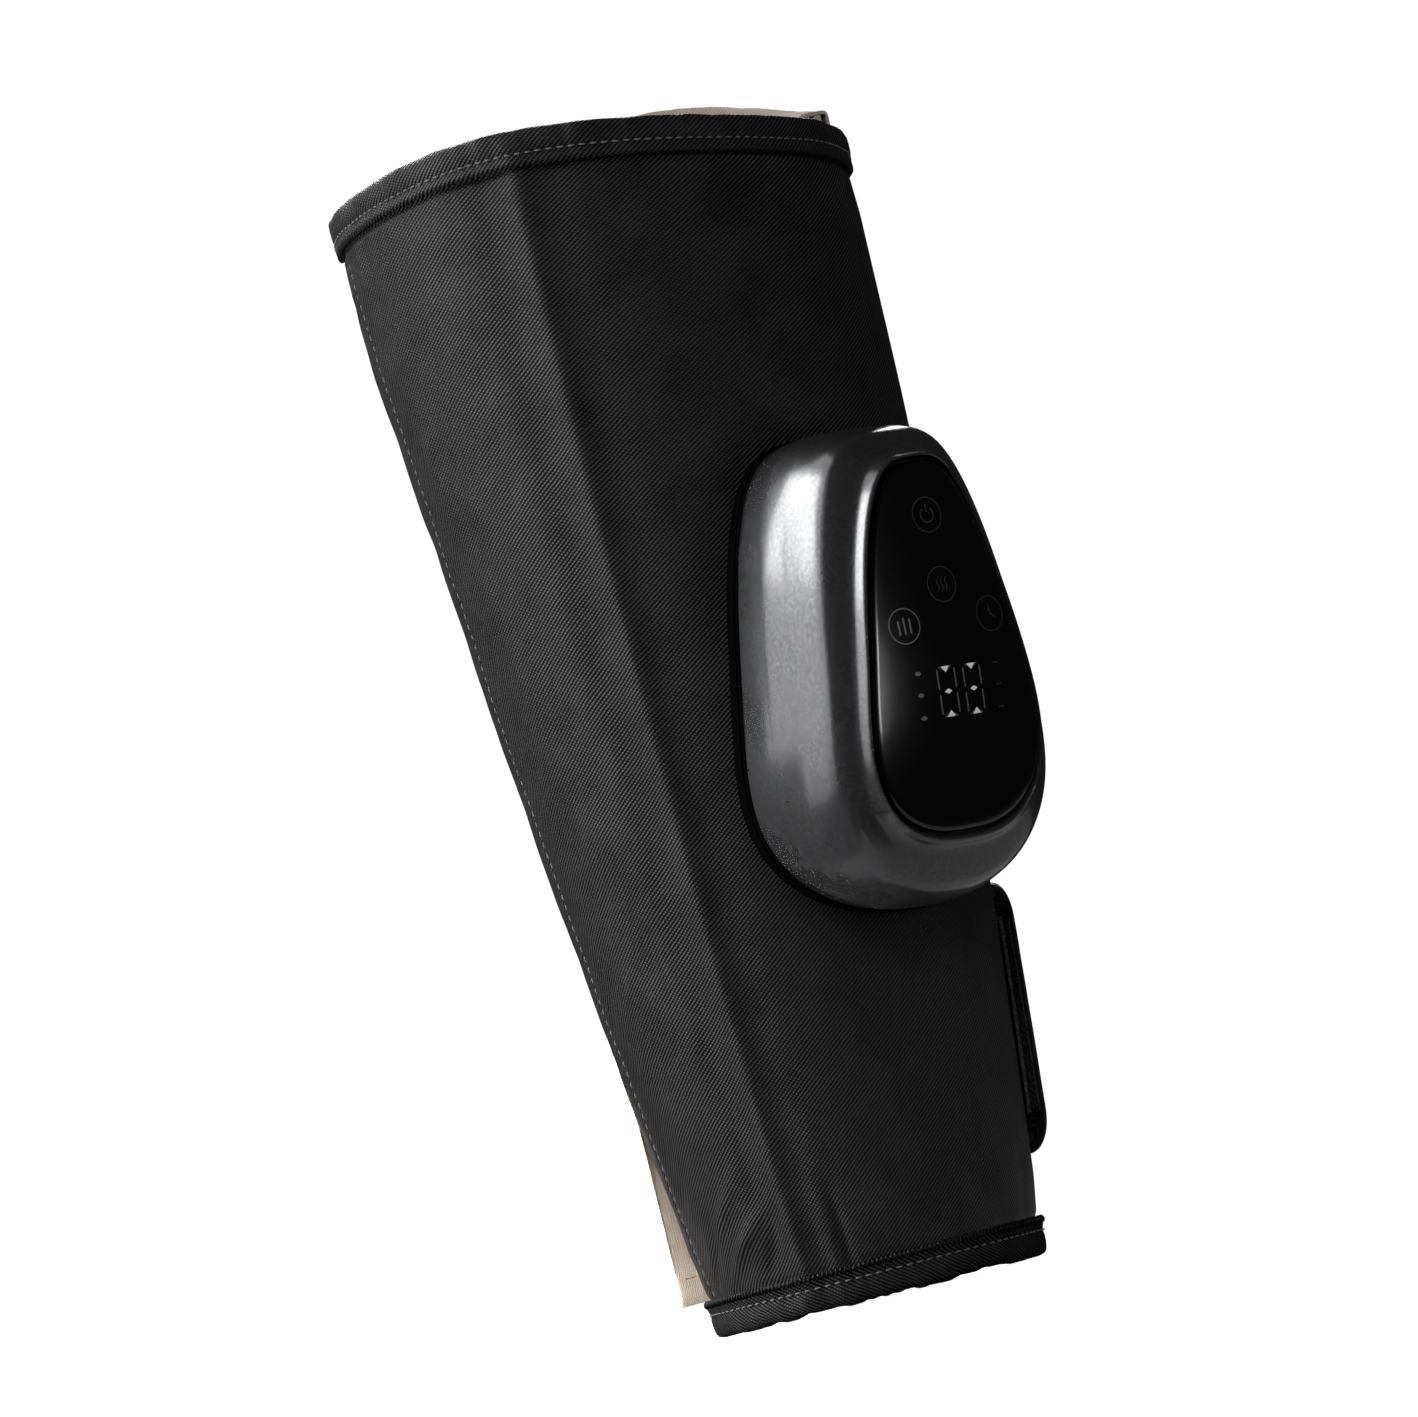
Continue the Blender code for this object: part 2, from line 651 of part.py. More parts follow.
def flat_loop(share, depth):
    return [Vector((x, -depth, z)) for x, z in (outline(share, turn) for turn in turns())]


def seated_loop(share, clearance):
    places = [outline(share, turn) for turn in turns()]
    return [Vector((x, -seat_depth(x, z, clearance), z)) for x, z in places]


def shrunk_seated_loop(scale, clearance):
    places = [outline(0, turn) for turn in turns()]
    return [Vector((x * scale, -seat_depth(x * scale, z * scale, clearance), z * scale)) for x, z in places]


SCREW_PLACES = [
    (side * spacing, up)
    for spacing, up in ((SCREW_HALF_SPACING_HIGH, SCREW_RISE), (SCREW_HALF_SPACING_LOW, -SCREW_DROP))
    for side in (-1, 1)
]
NIPPLE_RISES = [NIPPLE_SPACING * step for step in (-1, 0, 1)]
PARTING = POD_GAP + REAR_CASING_THICKNESS + POD_GAP
INNER_FLOOR = POD_GAP + REAR_CASING_THICKNESS
BOARD_POSTS = [
    (side * (BOARD_HALF_WIDTH - BOARD_POST_INSET), up)
    for up in (BOARD_LOW + BOARD_CORNER, BOARD_HIGH - BOARD_POST_INSET) for side in (-1, 1)
]
MOTOR_RIB_RISES = [MOTOR_LOW + MOTOR_LENGTH * share for share in MOTOR_RIB_SHARES]


def pod_rod(across, up, depth_low, depth_high, radius, sides=ROUND_SIDES):
    return rod("guide", Vector((across, -depth_low, up)), Vector((across, -depth_high, up)), radius,
               black_moulding(), POD_FRAME, sides)


def make_rear_casing(shell):
    """The curved back plate on the cloth, with screw bosses, board posts and motor rests, and its holes."""
    under = [shrunk_seated_loop(scale, POD_GAP) for scale in CASING_UNDER_SHARES]
    over = [shrunk_seated_loop(scale, INNER_FLOOR) for scale in CASING_FLOOR_SHARES]
    casing = loft("rear_casing", under + over, gunmetal_gloss(), POD_FRAME)
    posts = [pod_rod(x, z, seat_depth(x, z, POD_GAP + REAR_CASING_THICKNESS / 2), BOSS_DEPTH, BOSS_RADIUS)
             for x, z in SCREW_PLACES]
    posts += [pod_rod(x, z, seat_depth(x, z, POD_GAP + REAR_CASING_THICKNESS / 2), BOARD_DEPTH - POD_GAP,
                      BOARD_POST_RADIUS, 12) for x, z in BOARD_POSTS]
    posts += [pod_rod(MOTOR_ACROSS, z, seat_depth(MOTOR_ACROSS, z, POD_GAP + REAR_CASING_THICKNESS / 2),
                      MOTOR_DEPTH - MOTOR_RADIUS - POD_GAP, BOARD_POST_RADIUS, 12) for z in MOTOR_RIB_RISES]
    combine(casing, join_shapes("casing_posts_guide", posts), "UNION")
    holes = [pod_rod(x, z, seat_depth(x, z, 0) - FRONT_STACK, SCREW_REACH + POD_GAP,
                     SCREW_RADIUS + POD_GAP, 12)
             for x, z in SCREW_PLACES]
    holes += [pod_rod(MANIFOLD_ACROSS, z, seat_depth(MANIFOLD_ACROSS, z, 0) - FRONT_STACK, BOSS_DEPTH,
                      NIPPLE_RADIUS + POD_GAP, 12) for z in NIPPLE_RISES]
    guide = join_shapes("casing_holes_guide", holes)
    combine(casing, guide, "DIFFERENCE")
    cloth_holes = guide.copy()
    cloth_holes.name = "cloth_holes_guide"
    cloth_holes.data = guide.data.copy()
    bpy.context.collection.objects.link(cloth_holes)
    combine(shell, cloth_holes, "DIFFERENCE")


def make_front_casing():
    """The glossy housing: a lofted section with a sloping bezel, a ledge for the panel and a hollow."""
    loops = [seated_loop(0, PARTING)]
    loops += [outline_loop(share, BEZEL_DEPTH * depth_share) for share, depth_share in CASING_OUTER_SHARES]
    loops += [outline_loop(1.0, LEDGE_DEPTH), outline_loop(LEDGE_SHARE, LEDGE_DEPTH)]
    loops += [outline_loop(LEDGE_SHARE, LEDGE_DEPTH - LEDGE_THICKNESS)]
    loops += [outline_loop(share, BEZEL_DEPTH * depth_share) for share, depth_share in CASING_INNER_SHARES]
    loops += [seated_loop(CASING_WALL_SHARE, PARTING)]
    casing = loft("front_casing", loops, gunmetal_gloss(), POD_FRAME, ring=True)
    half_wide, half_deep = USB_SIZE[0] / 2 + POD_GAP, USB_SIZE[1] / 2 + POD_GAP
    middle = BOARD_DEPTH - POD_GAP - USB_SIZE[1] / 2
    slot = loft("port_slot_guide", [slot_loop(across, middle, half_deep, half_wide) for across in
                                    (BASE_HALF_WIDTH - USB_SIZE[2], BASE_HALF_WIDTH + OVERRUN)],
                black_moulding(), POD_FRAME)
    combine(casing, slot, "DIFFERENCE")


def make_touch_panel():
    """The black lens with its low dome; the keys are printed behind it and do not travel."""
    low = LEDGE_DEPTH + POD_GAP + GASKET_THICKNESS + POD_GAP
    middle_rise = outline(1, math.pi / 2)[1]
    loops = [panel_loop(scale, middle_rise, low) for scale in PANEL_DOME_SHARES[::-1] + (1,)]
    for scale in (1,) + PANEL_DOME_SHARES:
        loops.append(panel_loop(scale, middle_rise,
                                between(PANEL_CROWN_DEPTH, PANEL_EDGE_DEPTH, scale ** 2)))
    loft("touch_panel", loops, black_gloss(), POD_FRAME)


def panel_loop(scale, middle_rise, depth):
    """The panel's outline drawn in towards its middle, on the front's swell."""
    loop = []
    for turn in turns():
        x, z = outline(PANEL_EDGE_SHARE, turn)
        x, z = x * scale, between(middle_rise, z, scale)
        loop.append(Vector((x, -front_depth(x, z, depth), z)))
    return loop


def make_panel_gasket():
    low, high = LEDGE_DEPTH + POD_GAP, LEDGE_DEPTH + POD_GAP + GASKET_THICKNESS
    loops = [outline_loop(GASKET_OUTER_SHARE, low), outline_loop(GASKET_OUTER_SHARE, high),
             outline_loop(GASKET_INNER_SHARE, high), outline_loop(GASKET_INNER_SHARE, low)]
    loft("panel_gasket", loops, black_moulding(), POD_FRAME, ring=True)


def make_boards():
    low = BOARD_DEPTH + BOARD_THICKNESS + CHIP_SIZE[1] + POD_GAP
    high = low + DISPLAY_BOARD_THICKNESS
    loops = [flat_loop(DISPLAY_BOARD_SHARE, low), flat_loop(DISPLAY_BOARD_SHARE, high)]
    loft("display_board", loops, green_board(), POD_FRAME)
    wide, deep, tall = DIGIT_MODULE_SIZE
    block("digit_module", (-wide / 2, -high - POD_GAP - deep, DIGIT_MODULE_RISE - tall / 2),
          (wide / 2, -high - POD_GAP, DIGIT_MODULE_RISE + tall / 2), POD_GAP, white_moulding(), POD_FRAME)
    bm = bmesh.new()
    size = (2 * BOARD_HALF_WIDTH, BOARD_THICKNESS, BOARD_HIGH - BOARD_LOW)
    centre = (0, -BOARD_DEPTH - BOARD_THICKNESS / 2, (BOARD_HIGH + BOARD_LOW) / 2)
    bmesh.ops.create_cube(bm, size=1.0, matrix=Matrix.Translation(centre) @ Matrix.Diagonal((*size, 1.0)))
    corners = [e for e in bm.edges if abs(e.verts[0].co.y - e.verts[1].co.y) > BOARD_THICKNESS / 2]
    bmesh.ops.bevel(bm, geom=corners, offset=BOARD_CORNER, segments=3, affect="EDGES", profile=0.5)
    board = add_object("main_board", bm, green_board(), POD_FRAME)
    chip = block("chip_guide", (-CHIP_SIZE[0] / 2, -BOARD_DEPTH - BOARD_THICKNESS - CHIP_SIZE[1],
                                -CHIP_SIZE[2] / 2),
                 (CHIP_SIZE[0] / 2, -BOARD_DEPTH - BOARD_THICKNESS / 2, CHIP_SIZE[2] / 2), 0,
                 black_moulding(),
                 POD_FRAME)
    combine(board, chip, "UNION")


def make_battery():
    wide, deep, tall = BATTERY_SIZE
    x, z = BATTERY_CENTRE
    floor = max(seat_depth(x, z + side * tall / 2, INNER_FLOOR) for side in (-1, 1)) + POD_GAP
    block("battery_pack", (x - wide / 2, -floor - deep, z - tall / 2), (x + wide / 2, -floor, z + tall / 2),
          BATTERY_CORNER, blue_wrap(), POD_FRAME)


def make_pump(rotor):
    base = Matrix.Translation((MOTOR_ACROSS, -MOTOR_DEPTH, MOTOR_LOW))
    bore = SHAFT_RADIUS + POD_GAP
    top = MOTOR_LENGTH + MOTOR_NECK_LENGTH
    turned("pump_motor", (
        (0, 0), (MOTOR_RADIUS - HEM_ROUND, 0), (MOTOR_RADIUS, HEM_ROUND),
        (MOTOR_RADIUS, MOTOR_LENGTH - HEM_ROUND),
        (MOTOR_RADIUS - HEM_ROUND, MOTOR_LENGTH), (MOTOR_NECK_RADIUS, MOTOR_LENGTH),
        (MOTOR_NECK_RADIUS, top),
        (bore, top), (bore, top - SHAFT_SINK), (0, top - SHAFT_SINK),
    ), base, bright_steel(), POD_FRAME)
    low = MOTOR_LOW + MOTOR_LENGTH + POD_GAP
    head = block("pump_head", (MOTOR_ACROSS - HEAD_WIDTH / 2, -MOTOR_DEPTH - HEAD_WIDTH / 2, low),
                 (MOTOR_ACROSS + HEAD_WIDTH / 2, -MOTOR_DEPTH + HEAD_WIDTH / 2, low + HEAD_HEIGHT),
                 HEAD_CORNER,
                 black_moulding(), POD_FRAME)
    chamber_bore = rod("pump_bore_guide", Vector((MOTOR_ACROSS, -MOTOR_DEPTH, low - OVERRUN)),
                       Vector((MOTOR_ACROSS, -MOTOR_DEPTH, low + HEAD_BORE_DEPTH)), HEAD_BORE_RADIUS,
                       black_moulding(), POD_FRAME)
    combine(head, chamber_bore, "DIFFERENCE")
    shaft_low = top - SHAFT_SINK + POD_GAP
    cam_low = top + 2 * POD_GAP
    shaft = turned("pump_eccentric", ((0, shaft_low), (SHAFT_RADIUS, shaft_low),
                                      (SHAFT_RADIUS, cam_low + POD_GAP),
                                      (0, cam_low + POD_GAP)), Matrix.Identity(4), bright_steel(), rotor)
    cam = turned("cam_guide", ((0, cam_low), (CAM_RADIUS, cam_low), (CAM_RADIUS, cam_low + CAM_THICKNESS),
                               (0, cam_low + CAM_THICKNESS)), Matrix.Translation((CAM_THROW, 0, 0)),
                               bright_steel(),
                 rotor)
    combine(shaft, cam, "UNION")


def tube(name, points, radius, bore, material):
    """A hose along a few points, open through its length."""
    loops = []
    for i, point in enumerate(points):
        way = points[min(i + 1, len(points) - 1)] - points[max(i - 1, 0)]
        frame = Matrix.Translation(point) @ way.to_track_quat("Z", "Y").to_matrix().to_4x4()
        loops.append([frame @ Vector((math.cos(math.tau * s / 10), math.sin(math.tau * s / 10), 0))
                      for s in range(10)])
    outer = [[point + (p - point).normalized() * radius for p in loop] for point,
             loop in zip(points, loops)]
    inner = [[point + (p - point).normalized() * bore for p in loop] for point, loop in zip(points, loops)]
    return loft(name, outer + inner[::-1], material, POD_FRAME, ring=True)


def make_air_parts(plungers):
    low, high = MANIFOLD_HEIGHTS
    left, right = MANIFOLD_ACROSS - MANIFOLD_WIDTH / 2, MANIFOLD_ACROSS + MANIFOLD_WIDTH / 2
    block("air_manifold", (left, -MANIFOLD_DEPTHS[1], low), (right, -MANIFOLD_DEPTHS[0], high),
          MANIFOLD_CORNER,
          white_moulding(), POD_FRAME)
    for label, up in zip(("lower", "middle", "upper"), NIPPLE_RISES):
        deep = seat_depth(MANIFOLD_ACROSS, up, 0) - CHAMBER_DEPTH
        foot = deep + NIPPLE_RADIUS + LAYER_GAP
        frame = Matrix.Translation((MANIFOLD_ACROSS, -foot, up)) @ Matrix.Rotation(math.pi / 2, 4, "X")
        length = MANIFOLD_DEPTHS[0] - POD_GAP - foot
        turned("air_nipple_" + label, ((NIPPLE_BORE, 0), (NIPPLE_RADIUS, 0), (NIPPLE_RADIUS, length),
                                       (NIPPLE_BORE, length)), frame, white_moulding(), POD_FRAME, 12)
    for label, valve_low, plunger in zip(("lower", "upper"), VALVE_LOWS, plungers):
        start = right + POD_GAP
        body = block("valve_body_" + label, (start, -VALVE_DEPTHS[1], valve_low),
                     (start + VALVE_WIDTH, -VALVE_DEPTHS[0], valve_low + VALVE_LENGTH), VALVE_CORNER,
                     bright_steel(),
                     POD_FRAME)
        middle = start + VALVE_WIDTH / 2
        depth = sum(VALVE_DEPTHS) / 2
        bore = rod("valve_bore_guide_" + label, Vector((middle, -depth, valve_low - OVERRUN)),
                   Vector((middle, -depth, valve_low + VALVE_BORE_DEPTH)), VALVE_BORE_RADIUS,
                   bright_steel(), POD_FRAME)
        combine(body, bore, "DIFFERENCE")
        turned("valve_plunger_" + label, ((0, -PLUNGER_STICKS_OUT), (PLUNGER_RADIUS, -PLUNGER_STICKS_OUT),
                                          (PLUNGER_RADIUS, PLUNGER_SINK), (0, PLUNGER_SINK)),
                                          Matrix.Identity(4),
               bright_steel(), plunger, 16)
    head_side = MOTOR_ACROSS - HEAD_WIDTH / 2 - POD_GAP
    outlet_rise = MOTOR_LOW + MOTOR_LENGTH + HEAD_HEIGHT - HOSE_RADIUS * 2
    depth = sum(MANIFOLD_DEPTHS) / 2
    bend = HOSE_RADIUS * HOSE_BEND_SHARE
    arc = [Vector((MANIFOLD_ACROSS + bend * (1 - math.sin(t)), -depth,
                   outlet_rise - bend * (1 - math.cos(t))))
           for t in (math.pi / 2 * step / 4 for step in range(5))]
    points = [Vector((head_side, -depth, outlet_rise))] + arc + [Vector((MANIFOLD_ACROSS, -depth,
                                                                         high + POD_GAP))]
    tube("pump_hose", points, HOSE_RADIUS, HOSE_BORE, black_moulding())


def slot_loop(across, depth, half_deep, half_wide):
    """A long round-ended loop facing sideways, the shape of a USB-C mouth."""
    loop = []
    for side in (1, -1):
        for step in range(7):
            turn = math.pi * step / 6
            loop.append(Vector((across, -depth + half_deep * math.cos(turn) * side,
                                USB_RISE + side * (half_wide - half_deep + half_deep * math.sin(turn)))))
    return loop


def make_port():
    wide, deep, long = USB_SIZE
    middle = BOARD_DEPTH - POD_GAP - deep / 2
    mouth = outline(CASING_OUTER_SHARES[2][0], math.pi / 2)[0] - USB_INSET
    inner = (deep / 2 - USB_WALL, wide / 2 - USB_WALL)
    loops = [slot_loop(mouth - long, middle, deep / 2, wide / 2),
             slot_loop(mouth, middle, deep / 2, wide / 2),
             slot_loop(mouth, middle, *inner), slot_loop(mouth - long + USB_FLOOR, middle, *inner)]
    loft("charge_socket", loops, bright_steel(), POD_FRAME)


def make_backing_plate():
    """The plate inside the cloth that the pod's screws pull against."""
    low, high = POD_HEIGHT_ON_LEG - SCREW_DROP - PLATE_MARGIN, POD_HEIGHT_ON_LEG + SCREW_RISE + PLATE_MARGIN
    plate = wrap_sheet("backing_plate", (-PLATE_HALF_ANGLE, PLATE_HALF_ANGLE), lambda angle: low,
                       lambda angle: high,
                       CHAMBER_DEPTH, 8, 6, CHAMBER_THICKNESS, black_moulding())
    for number, (x, z) in enumerate(SCREW_PLACES, 1):
        plate_back = seat_depth(x, z, 0) - CHAMBER_DEPTH - CHAMBER_THICKNESS
        seat = plate_back + SCREW_HEAD_THICKNESS + SCREW_HEAD_SINK
        frame = Matrix.Translation((x, -seat, z)) @ Matrix.Rotation(math.pi / 2, 4, "X")
        length = SCREW_REACH - seat
        turned(f"pod_screw_{number}", (
            (0, -SCREW_HEAD_THICKNESS), (SCREW_HEAD_RADIUS, -SCREW_HEAD_THICKNESS), (SCREW_HEAD_RADIUS, 0),
            (SCREW_RADIUS, 0), (SCREW_RADIUS, length), (0, length),
        ), frame, bright_steel(), POD_FRAME, 12)
        wide, narrow = SCREW_HEAD_RADIUS + POD_GAP, SCREW_RADIUS + POD_GAP
        hole = turned(f"plate_hole_guide_{number}", (
            (0, -OVERRUN), (wide, -OVERRUN), (wide, POD_GAP), (narrow, POD_GAP), (narrow, OVERRUN),
            (0, OVERRUN),
        ), frame, bright_steel(), POD_FRAME, 12)
        combine(plate, hole, "DIFFERENCE")


# Joints: an empty on each axis carries what moves

def hinge_line(angle, low, high, bow):
    """Two points of a straight hinge that runs just outside the bowed surface."""
    return [wrap_point(angle, height, -bow) for height in (low, high)]


def empty(name, matrix, parent=None):
    made = bpy.data.objects.new(name, None)
    bpy.context.collection.objects.link(made)
    made.parent = parent
    made.matrix_local = matrix
    return made


def keep_in_place(children, frame):
    """Shapes made in world places stay there when their parent is an empty on a joint axis."""
    for child in children:
        child.matrix_parent_inverse = frame.matrix_world.inverted()


def centre_on_floor():
    """Put all under one empty, so that the middle of the bounding box stands over the origin."""
    bpy.context.view_layer.update()
    graph = bpy.context.evaluated_depsgraph_get()
    shown = [piece for piece in bpy.data.objects if piece.type == "MESH" and not piece.hide_render]
    points = [piece.matrix_world @ vertex.co
              for piece in shown for vertex in piece.evaluated_get(graph).data.vertices]
    middle = [(min(p[i] for p in points) + max(p[i] for p in points)) / 2 for i in (0, 1)]
    tops = [piece for piece in bpy.data.objects if piece.parent is None]
    assembly = empty("assembly", Matrix.Identity(4))
    for piece in tops:
        piece.parent = assembly
    assembly.location = (-middle[0], -middle[1], 0)


def main():
    global POD_FRAME
    for old in list(bpy.data.objects):
        bpy.data.objects.remove(old)
    POD_FRAME = empty("pod_frame", POD_MATRIX)
    flap_low, flap_high = hinge_line(HINGE_ANGLE, FLAP_LIFT, SLEEVE_HEIGHT, SLEEVE_BULGE)
    flap = empty("flap_axis", Matrix.Translation(flap_low) @
                 (flap_high - flap_low).to_track_quat("Z", "Y").to_matrix().to_4x4())
    tab_lift = LAYER_GAP + TAB_THICKNESS
    tab_low, tab_high = tab_root(TAB_LOW, tab_lift), tab_root(TAB_HIGH, tab_lift)
    tab = empty("tab_axis", Matrix.Translation(tab_low) @
                (tab_high - tab_low).to_track_quat("Z", "Y").to_matrix().to_4x4())
    rotor = empty("pump_axis", Matrix.Translation((MOTOR_ACROSS, -MOTOR_DEPTH, MOTOR_LOW)), POD_FRAME)
    valve_middle = MANIFOLD_ACROSS + MANIFOLD_WIDTH / 2 + POD_GAP + VALVE_WIDTH / 2
    plungers = [empty("plunger_axis_" + label, Matrix.Translation((valve_middle, -sum(VALVE_DEPTHS) / 2,
                                                                   low)),
                      POD_FRAME) for label, low in zip(("lower", "upper"), VALVE_LOWS)]
    bpy.context.view_layer.update()

    shell = make_front_panel()
    make_front_chambers()
    make_gusset()
    make_back_flap(flap)
    make_tab(flap, tab)
    make_rear_casing(shell)
    make_front_casing()
    make_touch_panel()
    make_panel_gasket()
    make_boards()
    make_battery()
    make_pump(rotor)
    make_air_parts(plungers)
    make_port()
    make_backing_plate()
    for frame in (flap, tab):
        keep_in_place(frame.children, frame)
    centre_on_floor()


main()
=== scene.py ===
import math

import bmesh
import bpy
from mathutils import Matrix, Vector, noise


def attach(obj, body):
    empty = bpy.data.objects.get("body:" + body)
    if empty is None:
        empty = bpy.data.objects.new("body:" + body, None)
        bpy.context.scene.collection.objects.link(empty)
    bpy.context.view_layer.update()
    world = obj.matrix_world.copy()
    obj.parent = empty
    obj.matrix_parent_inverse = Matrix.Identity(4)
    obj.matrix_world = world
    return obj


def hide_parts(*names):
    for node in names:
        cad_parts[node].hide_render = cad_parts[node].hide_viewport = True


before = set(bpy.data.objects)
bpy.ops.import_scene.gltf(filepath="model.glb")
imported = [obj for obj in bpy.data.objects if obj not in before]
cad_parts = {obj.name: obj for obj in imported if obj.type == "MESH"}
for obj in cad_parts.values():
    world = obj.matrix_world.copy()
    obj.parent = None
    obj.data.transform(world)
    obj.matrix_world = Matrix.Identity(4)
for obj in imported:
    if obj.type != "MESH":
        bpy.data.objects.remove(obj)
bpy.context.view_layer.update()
bpy.ops.object.select_all(action="DESELECT")
MM = 0.001

# The wrap's measures, as in the solids: angles turn from -Y towards +X, round the leg's own axis
LEG_AXIS = Vector((-0.18, 17.43, 0)) * MM
SLEEVE_HEIGHT = 362 * MM
BOTTOM_RADIUS = 50.5 * MM
TOP_RADIUS = 81.5 * MM
SLEEVE_BULGE = 4.1 * MM
FLATNESS = 0.10
CREASE_LOW, CREASE_HIGH = -60.5, -52.0
FACET_END = 46.0
FRONT_DROP = 12.5 * MM
DROP_START, DROP_END = -75.0, 22.0
CALF_RISE = 27.5 * MM
CALF_RISE_ANGLE = 135.0
CALF_RISE_SPREAD = 79.0
FLAP_LIFT = 12 * MM
FRONT_RIGHT, FRONT_LEFT = 66.0, -126.0
LEFT_SEAM = -111.5
HEM_DEPTH = 11.0
FLAP_FREE, HINGE = 70.0, -153.0
HINGE_GAP = 0.35
TAIL_REACH = 62.6 * MM
LAYER_GAP = 0.35 * MM
FRONT_STACK = 6.1 * MM
FLAP_STACK = 7.05 * MM
GUSSET_STACK = 3.35 * MM
HEM_THICKNESS = 1.1 * MM
HEM_CLEAR = HEM_THICKNESS + LAYER_GAP
TAB_LOW, TAB_HIGH = 31 * MM, 115 * MM
TAB_HINGE = 84.0
TAB_LENGTH = 27.5 * MM
TAB_CORNER = 12 * MM
TAB_THICKNESS = 1.3 * MM
ANCHOR_SPAN = 13.0

# The pod's measures, as in the solids: half width, half height, taper, squareness of its top and of its foot
POD_RISE = 178.5 * MM
POD_TILT = math.radians(5.5)
BASE_SHAPE = (40 * MM, 71.3 * MM, 0.22, 4.0, 2.45)
BASE_RISE = 1.2 * MM
PANEL_SHAPE = (28.4 * MM, 54.8 * MM, 0.34, 3.3, 2.65)
PANEL_RISE = 3.5 * MM
PARTING = 3.6 * MM
BEZEL_DEPTH = 40 * MM
FRONT_SWELL = 4.6 * MM
FRONT_SIDE_DROP = 1.7 * MM
FRONT_FOOT_DROP = 7.1 * MM
FOOT_DROP_START = 10 * MM
LEDGE_DEPTH = 37 * MM
PANEL_EDGE_DEPTH = 40.7 * MM
PANEL_CROWN = 0.8 * MM
PANEL_SHARE = 1.04
PORT_DEPTH = 28 * MM
PORT_RISE = -20 * MM
PORT_RADIUS = 2.0 * MM
PORT_HALF_LENGTH = 3.0 * MM
PORT_CUT = 24 * MM


# The wrap's surface

def base_radius(height):
    share = height / SLEEVE_HEIGHT
    return BOTTOM_RADIUS + (TOP_RADIUS - BOTTOM_RADIUS) * share + 4 * SLEEVE_BULGE * share * (1 - share)


def smooth(share):
    share = min(1.0, max(0.0, share))
    return share * share * (3 - 2 * share)


def waves(x, y, z):
    """The unevenness of sewn cloth: smooth noise, the same in every run."""
    return noise.noise(Vector((x, y, z)))


def arc_at(angle, height):
    """The way round the wrap to an angle, in millimetres."""
    return math.radians(angle) * base_radius(height) / MM


def crease_angle(height):
    return CREASE_LOW + (CREASE_HIGH - CREASE_LOW) * height / SLEEVE_HEIGHT


def wrap_radius(angle, height):
    start = crease_angle(height)
    middle = (start + FACET_END) / 2
    half = math.radians((FACET_END - start) / 2)
    turn = math.radians(angle - middle)
    if abs(turn) >= half:
        return base_radius(height)
    return base_radius(height) * (1 - FLATNESS * (1 - math.cos(half) / math.cos(turn)))


def outward(angle):
    turn = math.radians(angle)
    return Vector((math.sin(turn), -math.cos(turn), 0))


def drawn_in(angle, height):
    """How far the strap-side edge is pulled in above the tab, and the left edge let out near the top."""
    near_top = smooth((height / MM - 235) / 110)
    right = (1.0 + 2.1 * near_top) * smooth((angle - 12) / 38) * smooth((128 - angle) / 48)
    left = 1.5 * bump(height / MM, 325, 42) * smooth((-92 - angle) / 22)
    return (right - left) * MM


def wrap_point(angle, height, lift):
    point = LEG_AXIS + outward(angle) * (wrap_radius(angle, height) + lift - drawn_in(angle, height))
    point.z = height
    return point


def front_top(angle):
    share = min(1, max(0, (angle - DROP_START) / (DROP_END - DROP_START)))
    return SLEEVE_HEIGHT - FRONT_DROP * (1 - math.cos(math.pi * share)) / 2


def front_bottom(angle):
    return 0.0


def flap_top(angle):
    share = min(1, abs(angle - CALF_RISE_ANGLE) / CALF_RISE_SPREAD)
    return SLEEVE_HEIGHT + CALF_RISE * math.cos(math.pi / 2 * share) ** 2


def flap_bottom(angle):
    return FLAP_LIFT


def bump(value, centre, width):
    return math.exp(-((value - centre) / width) ** 2)


# Making pieces

def deselect():
    bpy.ops.object.select_all(action="DESELECT")


def link_mesh(name, mesh, materials, body):
    piece = bpy.data.objects.new(name, mesh)
    bpy.context.collection.objects.link(piece)
    for material in materials:
        mesh.materials.append(material)
    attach(piece, body)
    return piece


def skin(name, rows, marks, materials, body, finish_of=None, cap_finishes=(0, 0)):
    """Soft goods: closed rows of points in one skin, with marks for each point's place on the flat cloth."""
    count = len(rows[0])
    faces, corners, slots = [], [], []
    for r in range(len(rows) - 1):
        for c in range(count):
            d = (c + 1) % count
            faces.append((r * count + c, r * count + d, (r + 1) * count + d, (r + 1) * count + c))
            corners += [marks[r][c], marks[r][c + 1], marks[r + 1][c + 1], marks[r + 1][c]]
            slots.append(finish_of(r, c) if finish_of else 0)
    for r, order, cap in ((0, range(count - 1, -1, -1), 0), (len(rows) - 1, range(count), 1)):
        faces.append([r * count + c for c in order])
        corners += [marks[r][c] for c in order]
        slots.append(cap_finishes[cap])
    mesh = bpy.data.meshes.new(name)
    mesh.from_pydata([p for row in rows for p in row], [], faces)
    layer = mesh.uv_layers.new(name="cloth")
    layer.data.foreach_set("uv", [value for corner in corners for value in corner])
    mesh.polygons.foreach_set("material_index", slots)
    bm = bmesh.new()
    bm.from_mesh(mesh)
    if bm.calc_volume(signed=True) < 0:
        bmesh.ops.reverse_faces(bm, faces=bm.faces)
    bm.to_mesh(mesh)
    bm.free()
    mesh.shade_smooth()
    mesh.set_sharp_from_angle(angle=math.radians(60))
    return link_mesh(name, mesh, materials, body)


# A stitch from end to end: (share of its length, share of the thread's radius, rise in radii)
STITCH_RINGS = ((0.0, 0.35, -0.48), (0.22, 0.9, 0.15), (0.5, 1.0, 0.35), (0.78, 0.9, 0.15),
                (1.0, 0.35, -0.48))
STITCH_SIDES = 6


